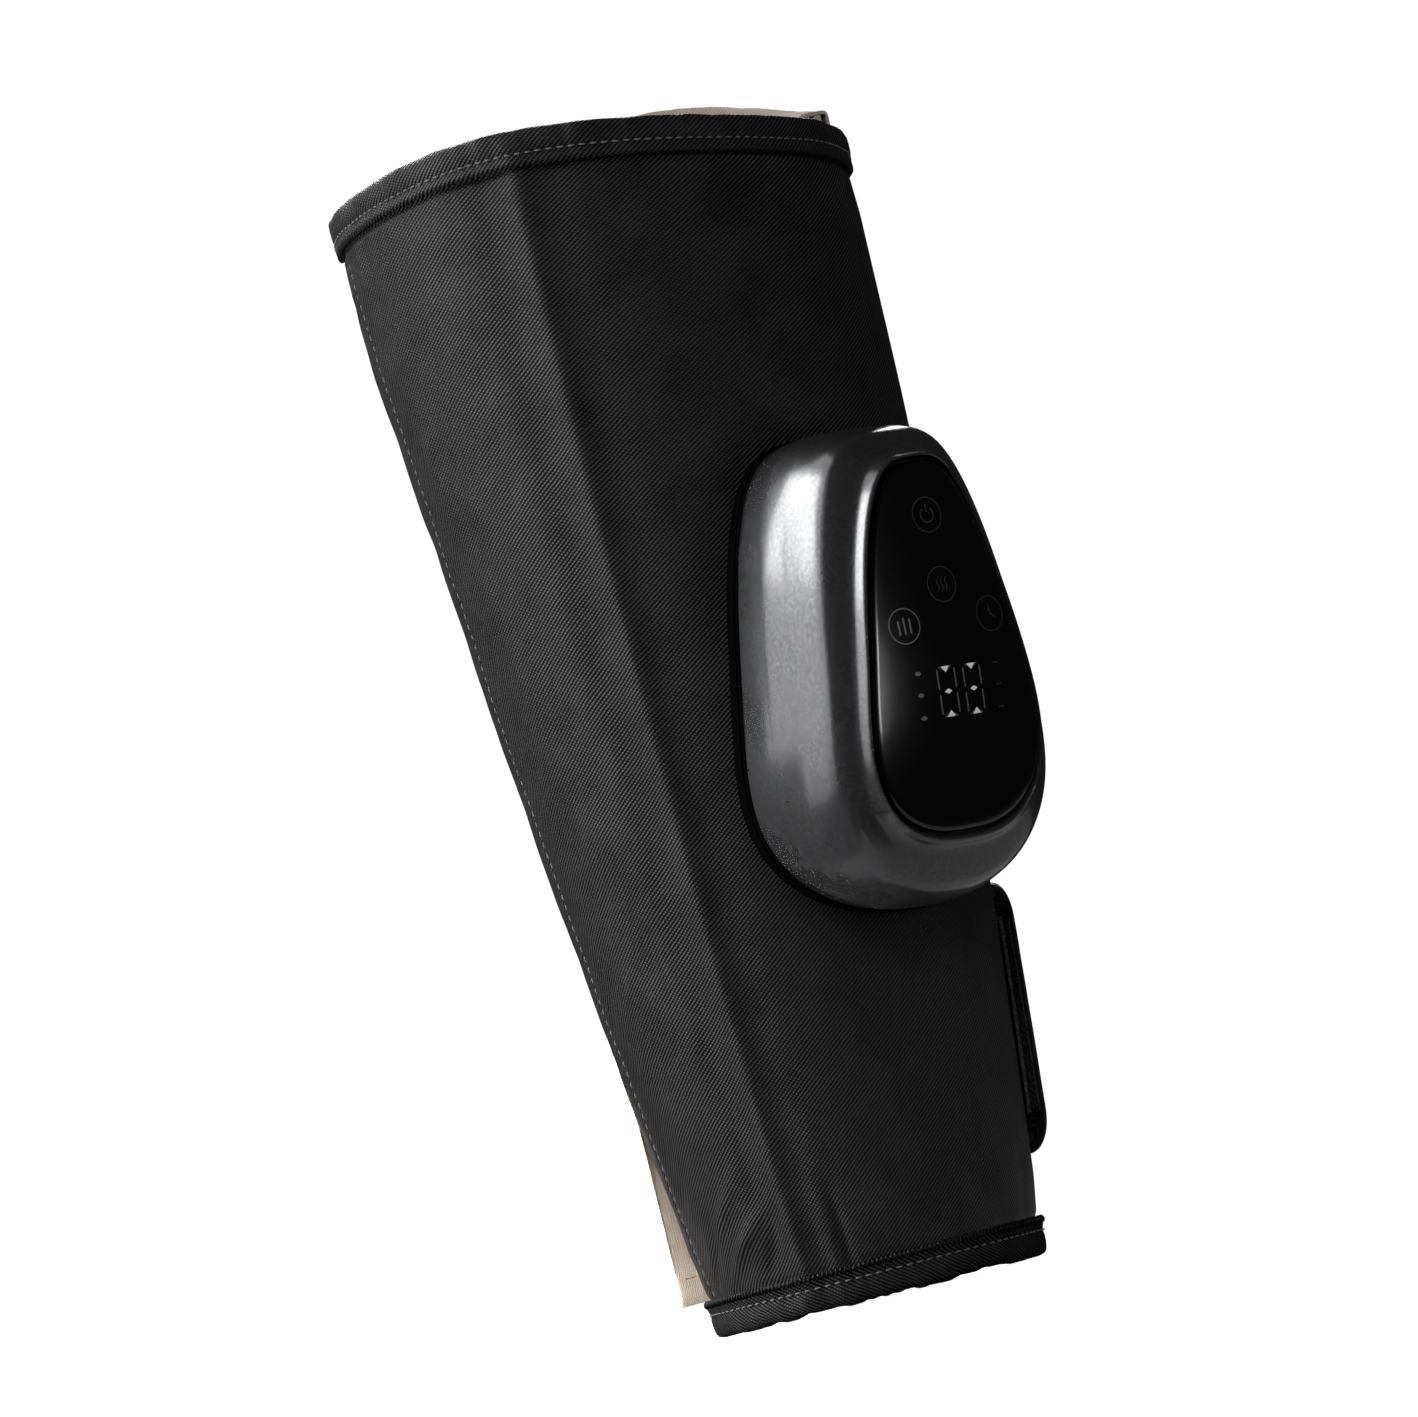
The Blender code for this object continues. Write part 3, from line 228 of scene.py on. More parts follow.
def add_stitch(vertices, faces, low, high, share, radius):
    """A short, fat-bellied bead of thread, its ends sunk in the cloth."""
    start, normal = low
    end = start.lerp(high[0], share)
    along = (end - start).normalized()
    side = along.cross(normal).normalized()
    first = len(vertices)
    for t, fat, rise in STITCH_RINGS:
        centre = start.lerp(end, t) + normal * radius * rise
        for corner in range(STITCH_SIDES):
            turn = math.tau * corner / STITCH_SIDES
            vertices.append(centre + (side * math.cos(turn) + normal * math.sin(turn) * 0.8) * radius * fat)
    for ring in range(len(STITCH_RINGS) - 1):
        for corner in range(STITCH_SIDES):
            a = first + ring * STITCH_SIDES + corner
            b = first + ring * STITCH_SIDES + (corner + 1) % STITCH_SIDES
            faces.append((a, a + STITCH_SIDES, b + STITCH_SIDES, b))
    faces.append([first + i for i in range(STITCH_SIDES)])
    faces.append([len(vertices) - 1 - i for i in range(STITCH_SIDES)])


def thread_piece(name, vertices, faces, material, body):
    mesh = bpy.data.meshes.new(name)
    mesh.from_pydata(vertices, [], faces)
    mesh.shade_smooth()
    return link_mesh(name, mesh, [material], body)


def stitches(name, path, length, gap, radius, material, body):
    """A row of stitches along a path of close points, each with the way out of the cloth there."""
    vertices, faces = [], []
    reach, start = 0.0, None
    for a, b in zip(path, path[1:]):
        if start is None:
            start = a
        reach += (b[0] - a[0]).length
        if reach >= length + gap:
            add_stitch(vertices, faces, start, a, length / (length + gap), radius)
            reach, start = 0.0, None
    return thread_piece(name, vertices, faces, material, body)


def place_circle(places):
    """A circle with its points set on an outline, left in edit mode with its edge selected."""
    deselect()
    bpy.ops.mesh.primitive_circle_add(vertices=len(places), radius=1.0, fill_type="NOTHING",
                                      location=(0, 0, 0))
    piece = bpy.context.object
    bpy.ops.object.mode_set(mode="EDIT")
    bm = bmesh.from_edit_mesh(piece.data)
    bm.verts.ensure_lookup_table()
    for vertex, place in zip(bm.verts, places):
        vertex.co = place
    bmesh.update_edit_mesh(piece.data)
    return piece


def extrude_to(piece, before, ring):
    """The selected edge extruded once, each new point put on its place in the next ring."""
    where = {tuple(round(x, 7) for x in place): new for place, new in zip(before, ring)}
    bpy.ops.mesh.extrude_edges_move()
    bm = bmesh.from_edit_mesh(piece.data)
    for vertex in bm.verts:
        if vertex.select:
            vertex.co = where[tuple(round(x, 7) for x in vertex.co)]
    bmesh.update_edit_mesh(piece.data)


def pull_rings(name, rings, material, body, capped=False, joined=False):
    """A hard piece: a circle on the first outline, extruded ring by ring onto the others."""
    piece = place_circle(rings[0])
    piece.name = piece.data.name = name
    for before, ring in zip(rings, rings[1:]):
        extrude_to(piece, before, ring)
    if joined:
        bpy.ops.mesh.select_all(action="SELECT")
        bpy.ops.mesh.remove_doubles(threshold=0.01 * MM)
    if capped:
        bpy.ops.mesh.edge_face_add()
        bpy.ops.mesh.select_all(action="DESELECT")
        bpy.ops.mesh.select_non_manifold()
        bpy.ops.mesh.edge_face_add()
    bpy.ops.mesh.select_all(action="SELECT")
    bpy.ops.mesh.normals_make_consistent(inside=False)
    bpy.ops.object.mode_set(mode="OBJECT")
    piece.data.shade_smooth()
    piece.data.set_sharp_from_angle(angle=math.radians(50))
    piece.data.materials.append(material)
    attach(piece, body)
    return piece


# Finishes

def new_material(name):
    material = bpy.data.materials.new(name)
    material.use_nodes = True
    return material, material.node_tree, material.node_tree.nodes["Principled BSDF"]


def value_ramp(tree, source, low, high, low_value, high_value):
    spread = tree.nodes.new("ShaderNodeMapRange")
    spread.inputs["From Min"].default_value = low
    spread.inputs["From Max"].default_value = high
    spread.inputs["To Min"].default_value = low_value
    spread.inputs["To Max"].default_value = high_value
    tree.links.new(source, spread.inputs["Value"])
    return spread.outputs["Result"]


def colour_mix(tree, factor, low, high):
    mixed = tree.nodes.new("ShaderNodeMix")
    mixed.data_type = "RGBA"
    mixed.inputs[6].default_value = (*low, 1)
    mixed.inputs[7].default_value = (*high, 1)
    tree.links.new(factor, mixed.inputs[0])
    return mixed.outputs[2]


def wave(tree, vector, pitch, turn, distortion=0.0):
    """Fine parallel ridges across a surface, at one pitch in metres and one turn in degrees."""
    place = tree.nodes.new("ShaderNodeMapping")
    place.inputs["Rotation"].default_value = (0, 0, math.radians(turn))
    tree.links.new(vector, place.inputs["Vector"])
    ridges = tree.nodes.new("ShaderNodeTexWave")
    ridges.inputs["Scale"].default_value = math.tau / 20 / pitch
    ridges.inputs["Distortion"].default_value = distortion
    ridges.inputs["Detail"].default_value = 2.0
    ridges.inputs["Detail Scale"].default_value = 0.6
    tree.links.new(place.outputs["Vector"], ridges.inputs["Vector"])
    return ridges.outputs["Fac"]


def grain(tree, vector, scale, detail=3.0):
    made = tree.nodes.new("ShaderNodeTexNoise")
    made.inputs["Scale"].default_value = scale
    made.inputs["Detail"].default_value = detail
    tree.links.new(vector, made.inputs["Vector"])
    return made.outputs["Fac"]


def times(tree, a, b, operation="MULTIPLY"):
    made = tree.nodes.new("ShaderNodeMath")
    made.operation = operation
    for socket, value in zip(made.inputs, (a, b)):
        if isinstance(value, (int, float)):
            socket.default_value = value
        else:
            tree.links.new(value, socket)
    return made.outputs[0]


def add_relief(tree, shader, height, strength, distance, invert=False):
    """The surface's fine relief, from the height of a pattern."""
    relief = tree.nodes.new("ShaderNodeBump")
    relief.invert = invert
    relief.inputs["Strength"].default_value = strength
    relief.inputs["Distance"].default_value = distance
    tree.links.new(height, relief.inputs["Height"])
    tree.links.new(relief.outputs["Normal"], shader.inputs["Normal"])


def cloth_material(name, dark, light, pitch, rib_turn, roughness, specular, relief, uneven):
    """Twill: slanting ribs crossed by finer yarns, slightly uneven, each yarn with its own soft gloss."""
    material, tree, shader = new_material(name)
    flat = tree.nodes.new("ShaderNodeUVMap")
    flat.uv_map = "cloth"
    vector = flat.outputs["UV"]
    ribs = wave(tree, vector, pitch, rib_turn, 0.9)
    yarns = wave(tree, vector, pitch * 0.8, rib_turn + 66, 1.6)
    fuzz = grain(tree, vector, 1500, 4)
    cloudy = grain(tree, vector, 60, 5)
    weave = times(tree, ribs, value_ramp(tree, yarns, 0, 1, 0.55, 1.15))
    shade = times(tree, times(tree, weave, 0.66), times(tree, fuzz, 0.34), "ADD")
    patchy = times(tree, shade, value_ramp(tree, cloudy, 0.3, 0.7, 1 - uneven, 1 + uneven))
    bold = value_ramp(tree, patchy, 0.37, 0.66, 0, 1)
    tree.links.new(colour_mix(tree, bold, dark, light), shader.inputs["Base Color"])
    gloss = value_ramp(tree, bold, 0, 1, roughness + 0.25, roughness - 0.08)
    tree.links.new(gloss, shader.inputs["Roughness"])
    shader.inputs["Specular IOR Level"].default_value = specular
    add_relief(tree, shader, shade, relief, 0.35 * MM)
    return material


def thread_material(name, colour):
    material, tree, shader = new_material(name)
    place = tree.nodes.new("ShaderNodeTexCoord").outputs["Object"]
    twist = wave(tree, place, 0.5 * MM, 40, 0.5)
    tree.links.new(colour_mix(tree, twist, [c * 0.6 for c in colour], colour), shader.inputs["Base Color"])
    shader.inputs["Roughness"].default_value = 0.5
    add_relief(tree, shader, twist, 0.4, 0.1 * MM)
    return material


def moulded_material(name, colour, roughness, metallic=0.0, coat=0.0, scuff=0.25, fleck=0.0,
                     coat_roughness=0.04, specular=0.5):
    """Moulded or painted plastic: faint handling marks in the gloss and a trace of orange peel."""
    material, tree, shader = new_material(name)
    place = tree.nodes.new("ShaderNodeTexCoord").outputs["Object"]
    smears = grain(tree, place, 38, 5)
    specks = value_ramp(tree, grain(tree, place, 900, 2), 0.4, 0.6, 0, 1)
    gloss = value_ramp(tree, smears, 0.35, 0.75, roughness * (1 - scuff), roughness * (1 + scuff))
    tree.links.new(gloss, shader.inputs["Roughness"])
    low, high = [c * (1 - fleck) for c in colour], [c * (1 + fleck) for c in colour]
    tree.links.new(colour_mix(tree, specks, low, high), shader.inputs["Base Color"])
    shader.inputs["Metallic"].default_value = metallic
    shader.inputs["Coat Weight"].default_value = coat
    shader.inputs["Coat Roughness"].default_value = coat_roughness
    shader.inputs["Specular IOR Level"].default_value = specular
    add_relief(tree, shader, smears, 0.05, 0.05 * MM)
    return material


def tape_material():
    """Hook and loop tape: a dense field of tiny hooks."""
    material, tree, shader = new_material("hook_and_loop_tape")
    place = tree.nodes.new("ShaderNodeTexCoord").outputs["Object"]
    cells = tree.nodes.new("ShaderNodeTexVoronoi")
    cells.inputs["Scale"].default_value = 900
    tree.links.new(place, cells.inputs["Vector"])
    shade = colour_mix(tree, cells.outputs["Distance"], (0.04, 0.04, 0.04), (0.006, 0.006, 0.006))
    tree.links.new(shade, shader.inputs["Base Color"])
    shader.inputs["Roughness"].default_value = 0.85
    add_relief(tree, shader, cells.outputs["Distance"], 1.0, 0.5 * MM, invert=True)
    return material


BLACK_CLOTH = cloth_material("black_satin_twill", (0.0004, 0.0004, 0.0004), (0.027, 0.027, 0.0275),
                             1.08 * MM, 56, 0.42, 0.30, 0.75, 0.16)
HEM_CLOTH = cloth_material("black_hem_twill", (0.0004, 0.0004, 0.0004), (0.025, 0.025, 0.0255),
                           1.08 * MM, 50, 0.44, 0.36, 0.7, 0.16)
BEIGE_CLOTH = cloth_material("beige_lining_twill", (0.22, 0.185, 0.15), (0.38, 0.32, 0.262),
                             0.9 * MM, 50, 0.75, 0.2, 0.5, 0.12)
GREY_THREAD = thread_material("grey_thread", (0.11, 0.11, 0.115))
PALE_THREAD = thread_material("pale_thread", (0.15, 0.15, 0.155))
# Near-black thread for the overlock stitches, also laid on the faces under each binding's lip as painted
# shade of the groove
BLACK_THREAD_AND_SHADE = thread_material("black_thread_and_painted_shade", (0.0015, 0.0015, 0.0015))
BEIGE_THREAD = thread_material("beige_thread", (0.55, 0.46, 0.37))
GUNMETAL = moulded_material("gunmetal_lacquer", (0.076, 0.077, 0.080), 0.28, 0.85, 0.6, 0.2, 0.12, 0.14)
# Near-black matte foam: partly the dark backing's own black, partly painted shade of the shadow gap round the
# pod's shell
BLACK_FOAM_AND_SHADE = moulded_material("black_foam_and_painted_shade", (0.0008, 0.0008, 0.0008), 0.95, specular=0.02)
PANEL_BLACK = moulded_material("panel_black", (0.0008, 0.0008, 0.0008), 0.17, 0.0, 0.25, 0.1)
MOULDED_BLACK = moulded_material("moulded_black", (0.015, 0.015, 0.015), 0.45)
SOFT_RUBBER = moulded_material("soft_rubber", (0.012, 0.012, 0.012), 0.7)
PRINT_FAINT = moulded_material("print_faint", (0.016, 0.016, 0.017), 0.35)
PRINT_GREY = moulded_material("print_grey", (0.075, 0.075, 0.077), 0.4)
PRINT_PALE = moulded_material("print_pale", (0.8, 0.8, 0.8), 0.4)
PLATED = moulded_material("plated_steel", (0.5, 0.5, 0.5), 0.3, 1.0)
WHITE_MOULDED = moulded_material("white_moulded", (0.7, 0.7, 0.67), 0.45)
BOARD_GREEN = moulded_material("board_green", (0.02, 0.11, 0.05), 0.4)
BLUE_FILM = moulded_material("blue_film", (0.03, 0.09, 0.30), 0.3)
TAPE = tape_material()


# The padded panels

SEWN_IN_REACH = 16 * MM
ROLL_STEPS = 6          # the faces round a panel's rolled side edge
PANEL_EDGE_STACK = 3.2 * MM
EDGE_SEAM = 3.6
EDGE_SEAM_DEPTH = 0.45
HEM_ROWS_SHARE = 0.14
HEM_ROWS_END = 0.2
# Folds at the foot of the front's left side: angle, height, tilt, half width and size
FOOT_FOLDS = ((-86, 34, 0.9, 3.0, 1.71), (-93, 27, 0.7, 2.6, -1.33), (-78, 26, 1.1, 3.0, 1.52),
              (-69, 22, 0.5, 2.6, -1.14))


def sewn_in(height, low, high):
    """The cover draws in under its hems and swells away from them."""
    return min(smooth((height - low) / SEWN_IN_REACH), smooth((high - height) / SEWN_IN_REACH))


def front_relief(angle, height):
    """The front cover's own shape over the smooth wrap, from the photograph, in metres."""
    high = front_top(angle)
    from_low, from_high = height / MM, (high - height) / MM
    arc = arc_at(angle, height)
    lift = -0.55 + 0.75 * sewn_in(height, 11 * MM, high - 12 * MM)
    lift -= 1.0 * bump(from_high, HEM_DEPTH + 0.9, 1.3) + 0.6 * bump(from_low, HEM_DEPTH + 1.0, 1.3)
    lift += 0.22 * waves(arc / 26, from_low / 60, 3.1)
    gather = waves(arc / 7.5, from_high / 60, 7.7) + 0.5 * waves(arc / 3.4, 0.4, 1.3)
    lift += 0.75 * gather * math.exp(-from_high / 16)
    pucker = waves(arc / 8.0, from_low / 50, 12.5) + 0.4 * waves(arc / 3.6, 0.2, 5.0)
    lift += 0.80 * pucker * math.exp(-from_low / 20)
    fold = angle + 44.7
    lift -= 1.0 * bump(fold, 0, 1.4) * smooth((from_low - 4) / 6) * smooth((44 - from_low) / 26)
    lift += 0.8 * bump(fold, -4.2, 2.6) * smooth((50 - from_low) / 36)
    crease = angle - crease_angle(height)
    lift += 1.15 * bump(crease, 0.3, 3.0) - 0.95 * bump(crease, -8.0, 4.6) - 0.35 * bump(crease, 7.5, 4.5)
    left = smooth((-64 - angle) / 12)
    lift += left * 0.60 * waves(arc / 15, from_low / 26, 41.0)
    lift += left * 0.28 * waves(arc / 6.5, from_low / 11, 17.0)
    for centre, rise, tilt, width, size in FOOT_FOLDS:
        across = (angle - centre) * 0.93 - (from_low - rise) * tilt
        lift += size * bump(across, 0, width) * bump(from_low, rise, 9)
    seam = (angle - LEFT_SEAM) * math.radians(1) * base_radius(height) / MM
    pinch = 0.75 + 0.5 * waves(from_low / 4.5, 3.0, 2.0)
    lift -= 0.75 * pinch * bump(seam, 0, 1.5)
    lift += 0.35 * waves(from_low / 5.0, 8.0, 1.0) * bump(seam, -5, 5)
    edge = (FRONT_RIGHT - angle) * math.radians(1) * base_radius(height) / MM
    lift -= EDGE_SEAM_DEPTH * bump(edge, EDGE_SEAM, 0.9)
    return lift * MM


def flap_relief(angle, height):
    """The flap cover's own shape over the smooth wrap, in metres."""
    high = flap_top(angle)
    arc = arc_at(angle, height)
    from_low, from_high = (height - FLAP_LIFT) / MM, (high - height) / MM
    lift = -0.5 + 0.7 * sewn_in(height, FLAP_LIFT + 11 * MM, high - 12 * MM)
    lift += 0.35 * waves(arc / 30, from_low / 70, 8.1)
    lift += 0.5 * waves(arc / 8, from_high / 50, 2.2) * math.exp(-from_high / 22)
    lift += 0.6 * waves(arc / 8, from_low / 50, 9.4) * math.exp(-from_low / 20)
    edge = min(angle - FLAP_FREE, HINGE + 360 - angle) * math.radians(1) * base_radius(height) / MM
    lift -= EDGE_SEAM_DEPTH * bump(edge, EDGE_SEAM, 0.9)
    return lift * MM


def lining_relief(angle, height):
    """Soft quilting of the lining over the air chambers."""
    arc = arc_at(angle, height)
    return (0.5 * waves(arc / 22, height / MM / 34, 20.0) + 0.25) * MM


def row_share(share):
    """Rows of a panel's skin stand closer near its two hems, where the grooves are."""
    if share < 0.5:
        return HEM_ROWS_SHARE * smooth_start(share)
    return 1 - HEM_ROWS_SHARE * smooth_start(1 - share)


def smooth_start(share):
    """Even steps over the first part, then wider ones, reaching half the panel at half way."""
    if share < HEM_ROWS_END:
        return share / HEM_ROWS_END * 0.5
    return 0.5 + (share - HEM_ROWS_END) / (0.5 - HEM_ROWS_END) * (0.5 / HEM_ROWS_SHARE - 0.5)


def padded_panel(name, angles, low, high, stack, relief, columns, rows, body, beige_roll=0):
    """One padded panel: black cover, rolled sewn edges and beige lining in one closed skin."""
    roll = PANEL_EDGE_STACK / 2
    skin_rows, marks = [], []
    for r in range(rows + 1):
        share = row_share(r / rows)
        points, flat = [], []
        reach = math.degrees((roll + 0.1 * MM) / base_radius(SLEEVE_HEIGHT * share))
        inner_angles = (angles[0] + reach, angles[1] - reach)
        arc_radius = base_radius(SLEEVE_HEIGHT * 0.5)

        def put(angle, lift, mark):
            height = low(angle) + (high(angle) - low(angle)) * share
            points.append(wrap_point(angle, height, lift(angle, height)))
            flat.append((mark, height))

        start, stop = (math.radians(angle) * arc_radius for angle in inner_angles)
        for c in range(columns + 1):
            put(inner_angles[0] + (inner_angles[1] - inner_angles[0]) * c / columns, relief,
                start + (stop - start) * c / columns)
        for end, way in ((1, 1), (0, -1)):
            angle = inner_angles[end]
            for step in range(1, ROLL_STEPS):
                turn = math.pi * (step if end else ROLL_STEPS - step) / ROLL_STEPS
                over = way * math.degrees(roll * math.sin(turn) / base_radius(SLEEVE_HEIGHT * share))
                level = roll * math.cos(turn) - roll
                mark = stop + roll * math.pi * step / ROLL_STEPS
                mark += 0 if end else math.pi * roll + stop - start
                put(angle + over, lambda a, h, level=level, angle=angle: relief(angle, h) + level, mark)
            if end:
                inner_columns = columns // 3
                for c in range(inner_columns + 1):
                    inner = inner_angles[1] + (inner_angles[0] - inner_angles[1]) * c / inner_columns

                    def inside(a, h):
                        nearest = min(a - inner_angles[0], inner_angles[1] - a)
                        swell = smooth(math.radians(nearest) * base_radius(h) / (12 * MM))
                        depth = PANEL_EDGE_STACK + (stack - PANEL_EDGE_STACK) * swell
                        return -depth + lining_relief(a, h) * swell + relief(a, h) * (1 - swell)

                    put(inner, inside, stop + math.pi * roll + (stop - start) * c / inner_columns)
        skin_rows.append(points)
        marks.append(flat + [(2 * (stop + math.pi * roll) - start, flat[0][1])])
    first_inner = columns + ROLL_STEPS
    last_inner = first_inner + columns // 3 + beige_roll
    return skin(name, skin_rows, marks, [BLACK_CLOTH, BEIGE_CLOTH], body,
                lambda r, c: 1 if first_inner <= c < last_inner else 0)


LIP_SHADE_FACES = 3     # the faces of a binding's section that lie under its lip, given the near-black thread finish as painted shade of the groove there
INSIDE_FACES = 12       # the faces from a binding's top round its inside to the end of its lining
CAP_ROWS = 5            # the rows next to a lined end that are beige too
HEM_THREAD_RISE = HEM_DEPTH - 3.2
HEM_THREAD_LIFT = 1.02


def hem_section(stack):
    """The folded binding in section: (lift, distance from its edge) in mm, from outer lip to inner."""
    inside, deep = -stack / MM, HEM_DEPTH
    outer = [(-0.45, deep - 0.9), (-0.85, deep - 0.1), (-0.5, deep + 0.3), (0.6, deep + 0.5),
             (1.0, deep + 0.5), (1.40, deep + 0.1), (1.52, deep - 0.55), (1.36, deep - 1.2),
             (1.20, deep - 1.9), (1.02, deep - 2.7), (0.90, deep - 3.2), (1.02, deep - 3.7),
             (1.28, deep - 4.6), (1.42, deep - 6.2), (1.36, deep - 8.0), (1.16, deep - 9.6),
             (0.72, 0.62), (0.10, 0.16)]
    top = [(-1.0, 0.0), (inside / 2, 0.0), (inside + 0.6, 0.0)]
    inner = [(inside - 0.5, 0.16), (inside - 1.1, 0.62), (inside - 1.42, 1.6), (inside - 1.45, 5.0),
             (inside - 1.45, deep - 2.0), (inside - 1.3, deep), (inside - 0.8, deep + 0.3),
             (inside - 0.4, deep)]
    under = [(inside - 0.36, deep - 2.5), (inside - 0.36, 1.6), (inside + 0.3, 1.25), (-0.2, 1.25),
             (0.36, 1.6), (0.38, deep - 3.2)]
    return outer + top + inner + under, len(outer)


def gathers(arc, ripple):
    """The gathering of a binding by its stitches; each binding has its own ripple."""
    return waves(arc / 6.5, 0.3, ripple) + 0.45 * waves(arc / 2.6, 0.7, ripple)


def no_droop(angle):
    return 0.0


def hem(name, angles, edge, upward, stack, columns, body, ripple, relief, beige_from=2, droop=no_droop,
        cap_finishes=(0, 0)):
    """A folded binding with a rolled lip, gathered by its stitching; droop draws its edge in at a corner."""
    section, outer_count = hem_section(stack)
    turn_in = outer_count + beige_from
    side = 1 if upward else -1
    along = [0.0]
    for a, b in zip(section, section[1:] + section[:1]):
        along.append(along[-1] + math.hypot(b[0] - a[0], b[1] - a[1]))
    rows, marks = [], []
    for c in range(columns + 1):
        angle = angles[0] + (angles[1] - angles[0]) * c / columns
        arc = arc_at(angle, edge(angle))
        gather = gathers(arc, ripple)
        wobble = waves(arc / 8.5, 4.2, ripple) + 0.4 * waves(arc / 3.0, 2.2, ripple)
        row = []
        for lift, rise in section:
            free = 1 - smooth(abs(rise - 0.5) / 7)
            out = (0.75 if lift > 0.4 else 0.2) * gather * (0.45 + 0.55 * free)
            up = rise + (1.15 * (wobble + 0.7) * free if upward else 0.30 * wobble * free + 0.3 * free)
            up = max(0.0, up) + droop(angle) * (1 - min(1, rise / (HEM_DEPTH - 2)))
            height = edge(angle) + side * up * MM
            follow = relief(angle, height) * 0.4 * (1 - free)
            row.append(wrap_point(angle, height, (lift + out) * MM + follow))
        rows.append(row)
        marks.append([(arc * MM, value * MM) for value in along])

    def finish(r, c):
        if turn_in <= c < outer_count + INSIDE_FACES or (cap_finishes[0] and r < CAP_ROWS):
            return 1
        # the faces under the lip take the near-black thread finish: painted shade of the groove beneath the
        # lip
        return 2 if c < LIP_SHADE_FACES else 0

    finishes = [HEM_CLOTH, BEIGE_CLOTH, BLACK_THREAD_AND_SHADE]
    return skin(name, rows, marks, finishes, body, finish, cap_finishes)


def hem_stitches(name, angles, edge, upward, body, ripple):
    """The stitches in the groove of a binding, following its gathers."""
    side = 1 if upward else -1
    path = []
    steps = int(abs(angles[1] - angles[0]) * 6)
    for s in range(steps + 1):
        angle = angles[0] + (angles[1] - angles[0]) * s / steps
        arc = arc_at(angle, edge(angle))
        gather = gathers(arc, ripple)
        free = 1 - smooth(abs(HEM_THREAD_RISE - 0.5) / 7)
        out = 0.75 * gather * (0.45 + 0.55 * free)
        point = wrap_point(angle, edge(angle) + side * HEM_THREAD_RISE * MM, (HEM_THREAD_LIFT + out) * MM)
        path.append((point, outward(angle)))
    return stitches(name, path, 2.1 * MM, 1.0 * MM, 0.30 * MM, GREY_THREAD, body)


def edge_stitches(name, angle_of, low, high, relief, body, material=GREY_THREAD):
    path = []
    steps = 900
    for s in range(steps + 1):
        height = low + (high - low) * s / steps
        angle = angle_of(height) + 0.10 * waves(height * 300, 0, 0)
        path.append((wrap_point(angle, height, relief(angle, height) + 0.10 * MM), outward(angle)))
    return stitches(name, path, 2.2 * MM, 1.1 * MM, 0.26 * MM, material, body)


def overlock(name, angles, edge, body, ripple):
    """Close black stitches over the turned-in edge of a bottom hem, one beside the other."""
    vertices, faces = [], []
    pitch = 1.35 * MM
    angle = angles[0]
    while angle < angles[1]:
        arc = arc_at(angle, edge(angle))
        out = 0.34 * gathers(arc, ripple)
        foot = wrap_point(angle, edge(angle) + (HEM_DEPTH - 1.0) * MM, (1.62 + out) * MM)
        head = wrap_point(angle + 0.35, edge(angle) + (HEM_DEPTH + 1.3) * MM, (1.0 + out) * MM)
        add_stitch(vertices, faces, (foot, outward(angle)), (head, outward(angle)), 1.0, 0.46 * MM)
        angle += math.degrees(pitch / base_radius(edge(angle)))
    return thread_piece(name, vertices, faces, BLACK_THREAD_AND_SHADE, body)


def near_edge(edge_angle, way, distance):
    return lambda height: edge_angle + way * math.degrees(distance / base_radius(height))


def front_corner(angle):
    """The top hem's edge falls away towards the strap side, where the corner is sewn round."""
    return 2.6 * smooth((angle - 50) / 12)


FRONT_TOP_RIPPLE, FRONT_BOTTOM_RIPPLE = 3.3, 9.1
FLAP_TOP_RIPPLE, FLAP_BOTTOM_RIPPLE = 5.7, 1.9
PANEL_CLEAR = HEM_CLEAR + 0.2 * MM
STITCH_INSET = 1.5


def make_front():
    angles = (FRONT_LEFT, FRONT_RIGHT)
    cover = padded_panel("front_cover", angles, lambda a: PANEL_CLEAR, lambda a: front_top(a) - PANEL_CLEAR,
                         FRONT_STACK, front_relief, 190, 230, "wrap")
    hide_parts("front_shell", "front_lining", "left_lower_air_chamber", "left_upper_air_chamber",
                "supply_tube")
    top = hem("front_top_binding", angles, front_top, False, FRONT_STACK, 260, "wrap", FRONT_TOP_RIPPLE,
              front_relief, droop=front_corner)
    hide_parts("front_top_hem")
    bottom = hem("front_bottom_binding", angles, front_bottom, True, FRONT_STACK, 260, "wrap",
                 FRONT_BOTTOM_RIPPLE, front_relief)
    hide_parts("front_bottom_hem")
    span = (FRONT_LEFT + STITCH_INSET, FRONT_RIGHT - STITCH_INSET)
    hem_stitches("front_top_stitches", span, front_top, False, "wrap", FRONT_TOP_RIPPLE)
    hem_stitches("front_bottom_stitches", span, front_bottom, True, "wrap", FRONT_BOTTOM_RIPPLE)
    edge_stitches("front_left_stitches", near_edge(LEFT_SEAM, 1, 0), 13 * MM, 347 * MM, front_relief, "wrap",
                  PALE_THREAD)
    overlock("front_bottom_overlock", span, front_bottom, "wrap", FRONT_BOTTOM_RIPPLE)
    edge_stitches("front_right_stitches", near_edge(FRONT_RIGHT, -1, EDGE_SEAM * MM), 13 * MM, 336 * MM,
                  front_relief, "wrap")


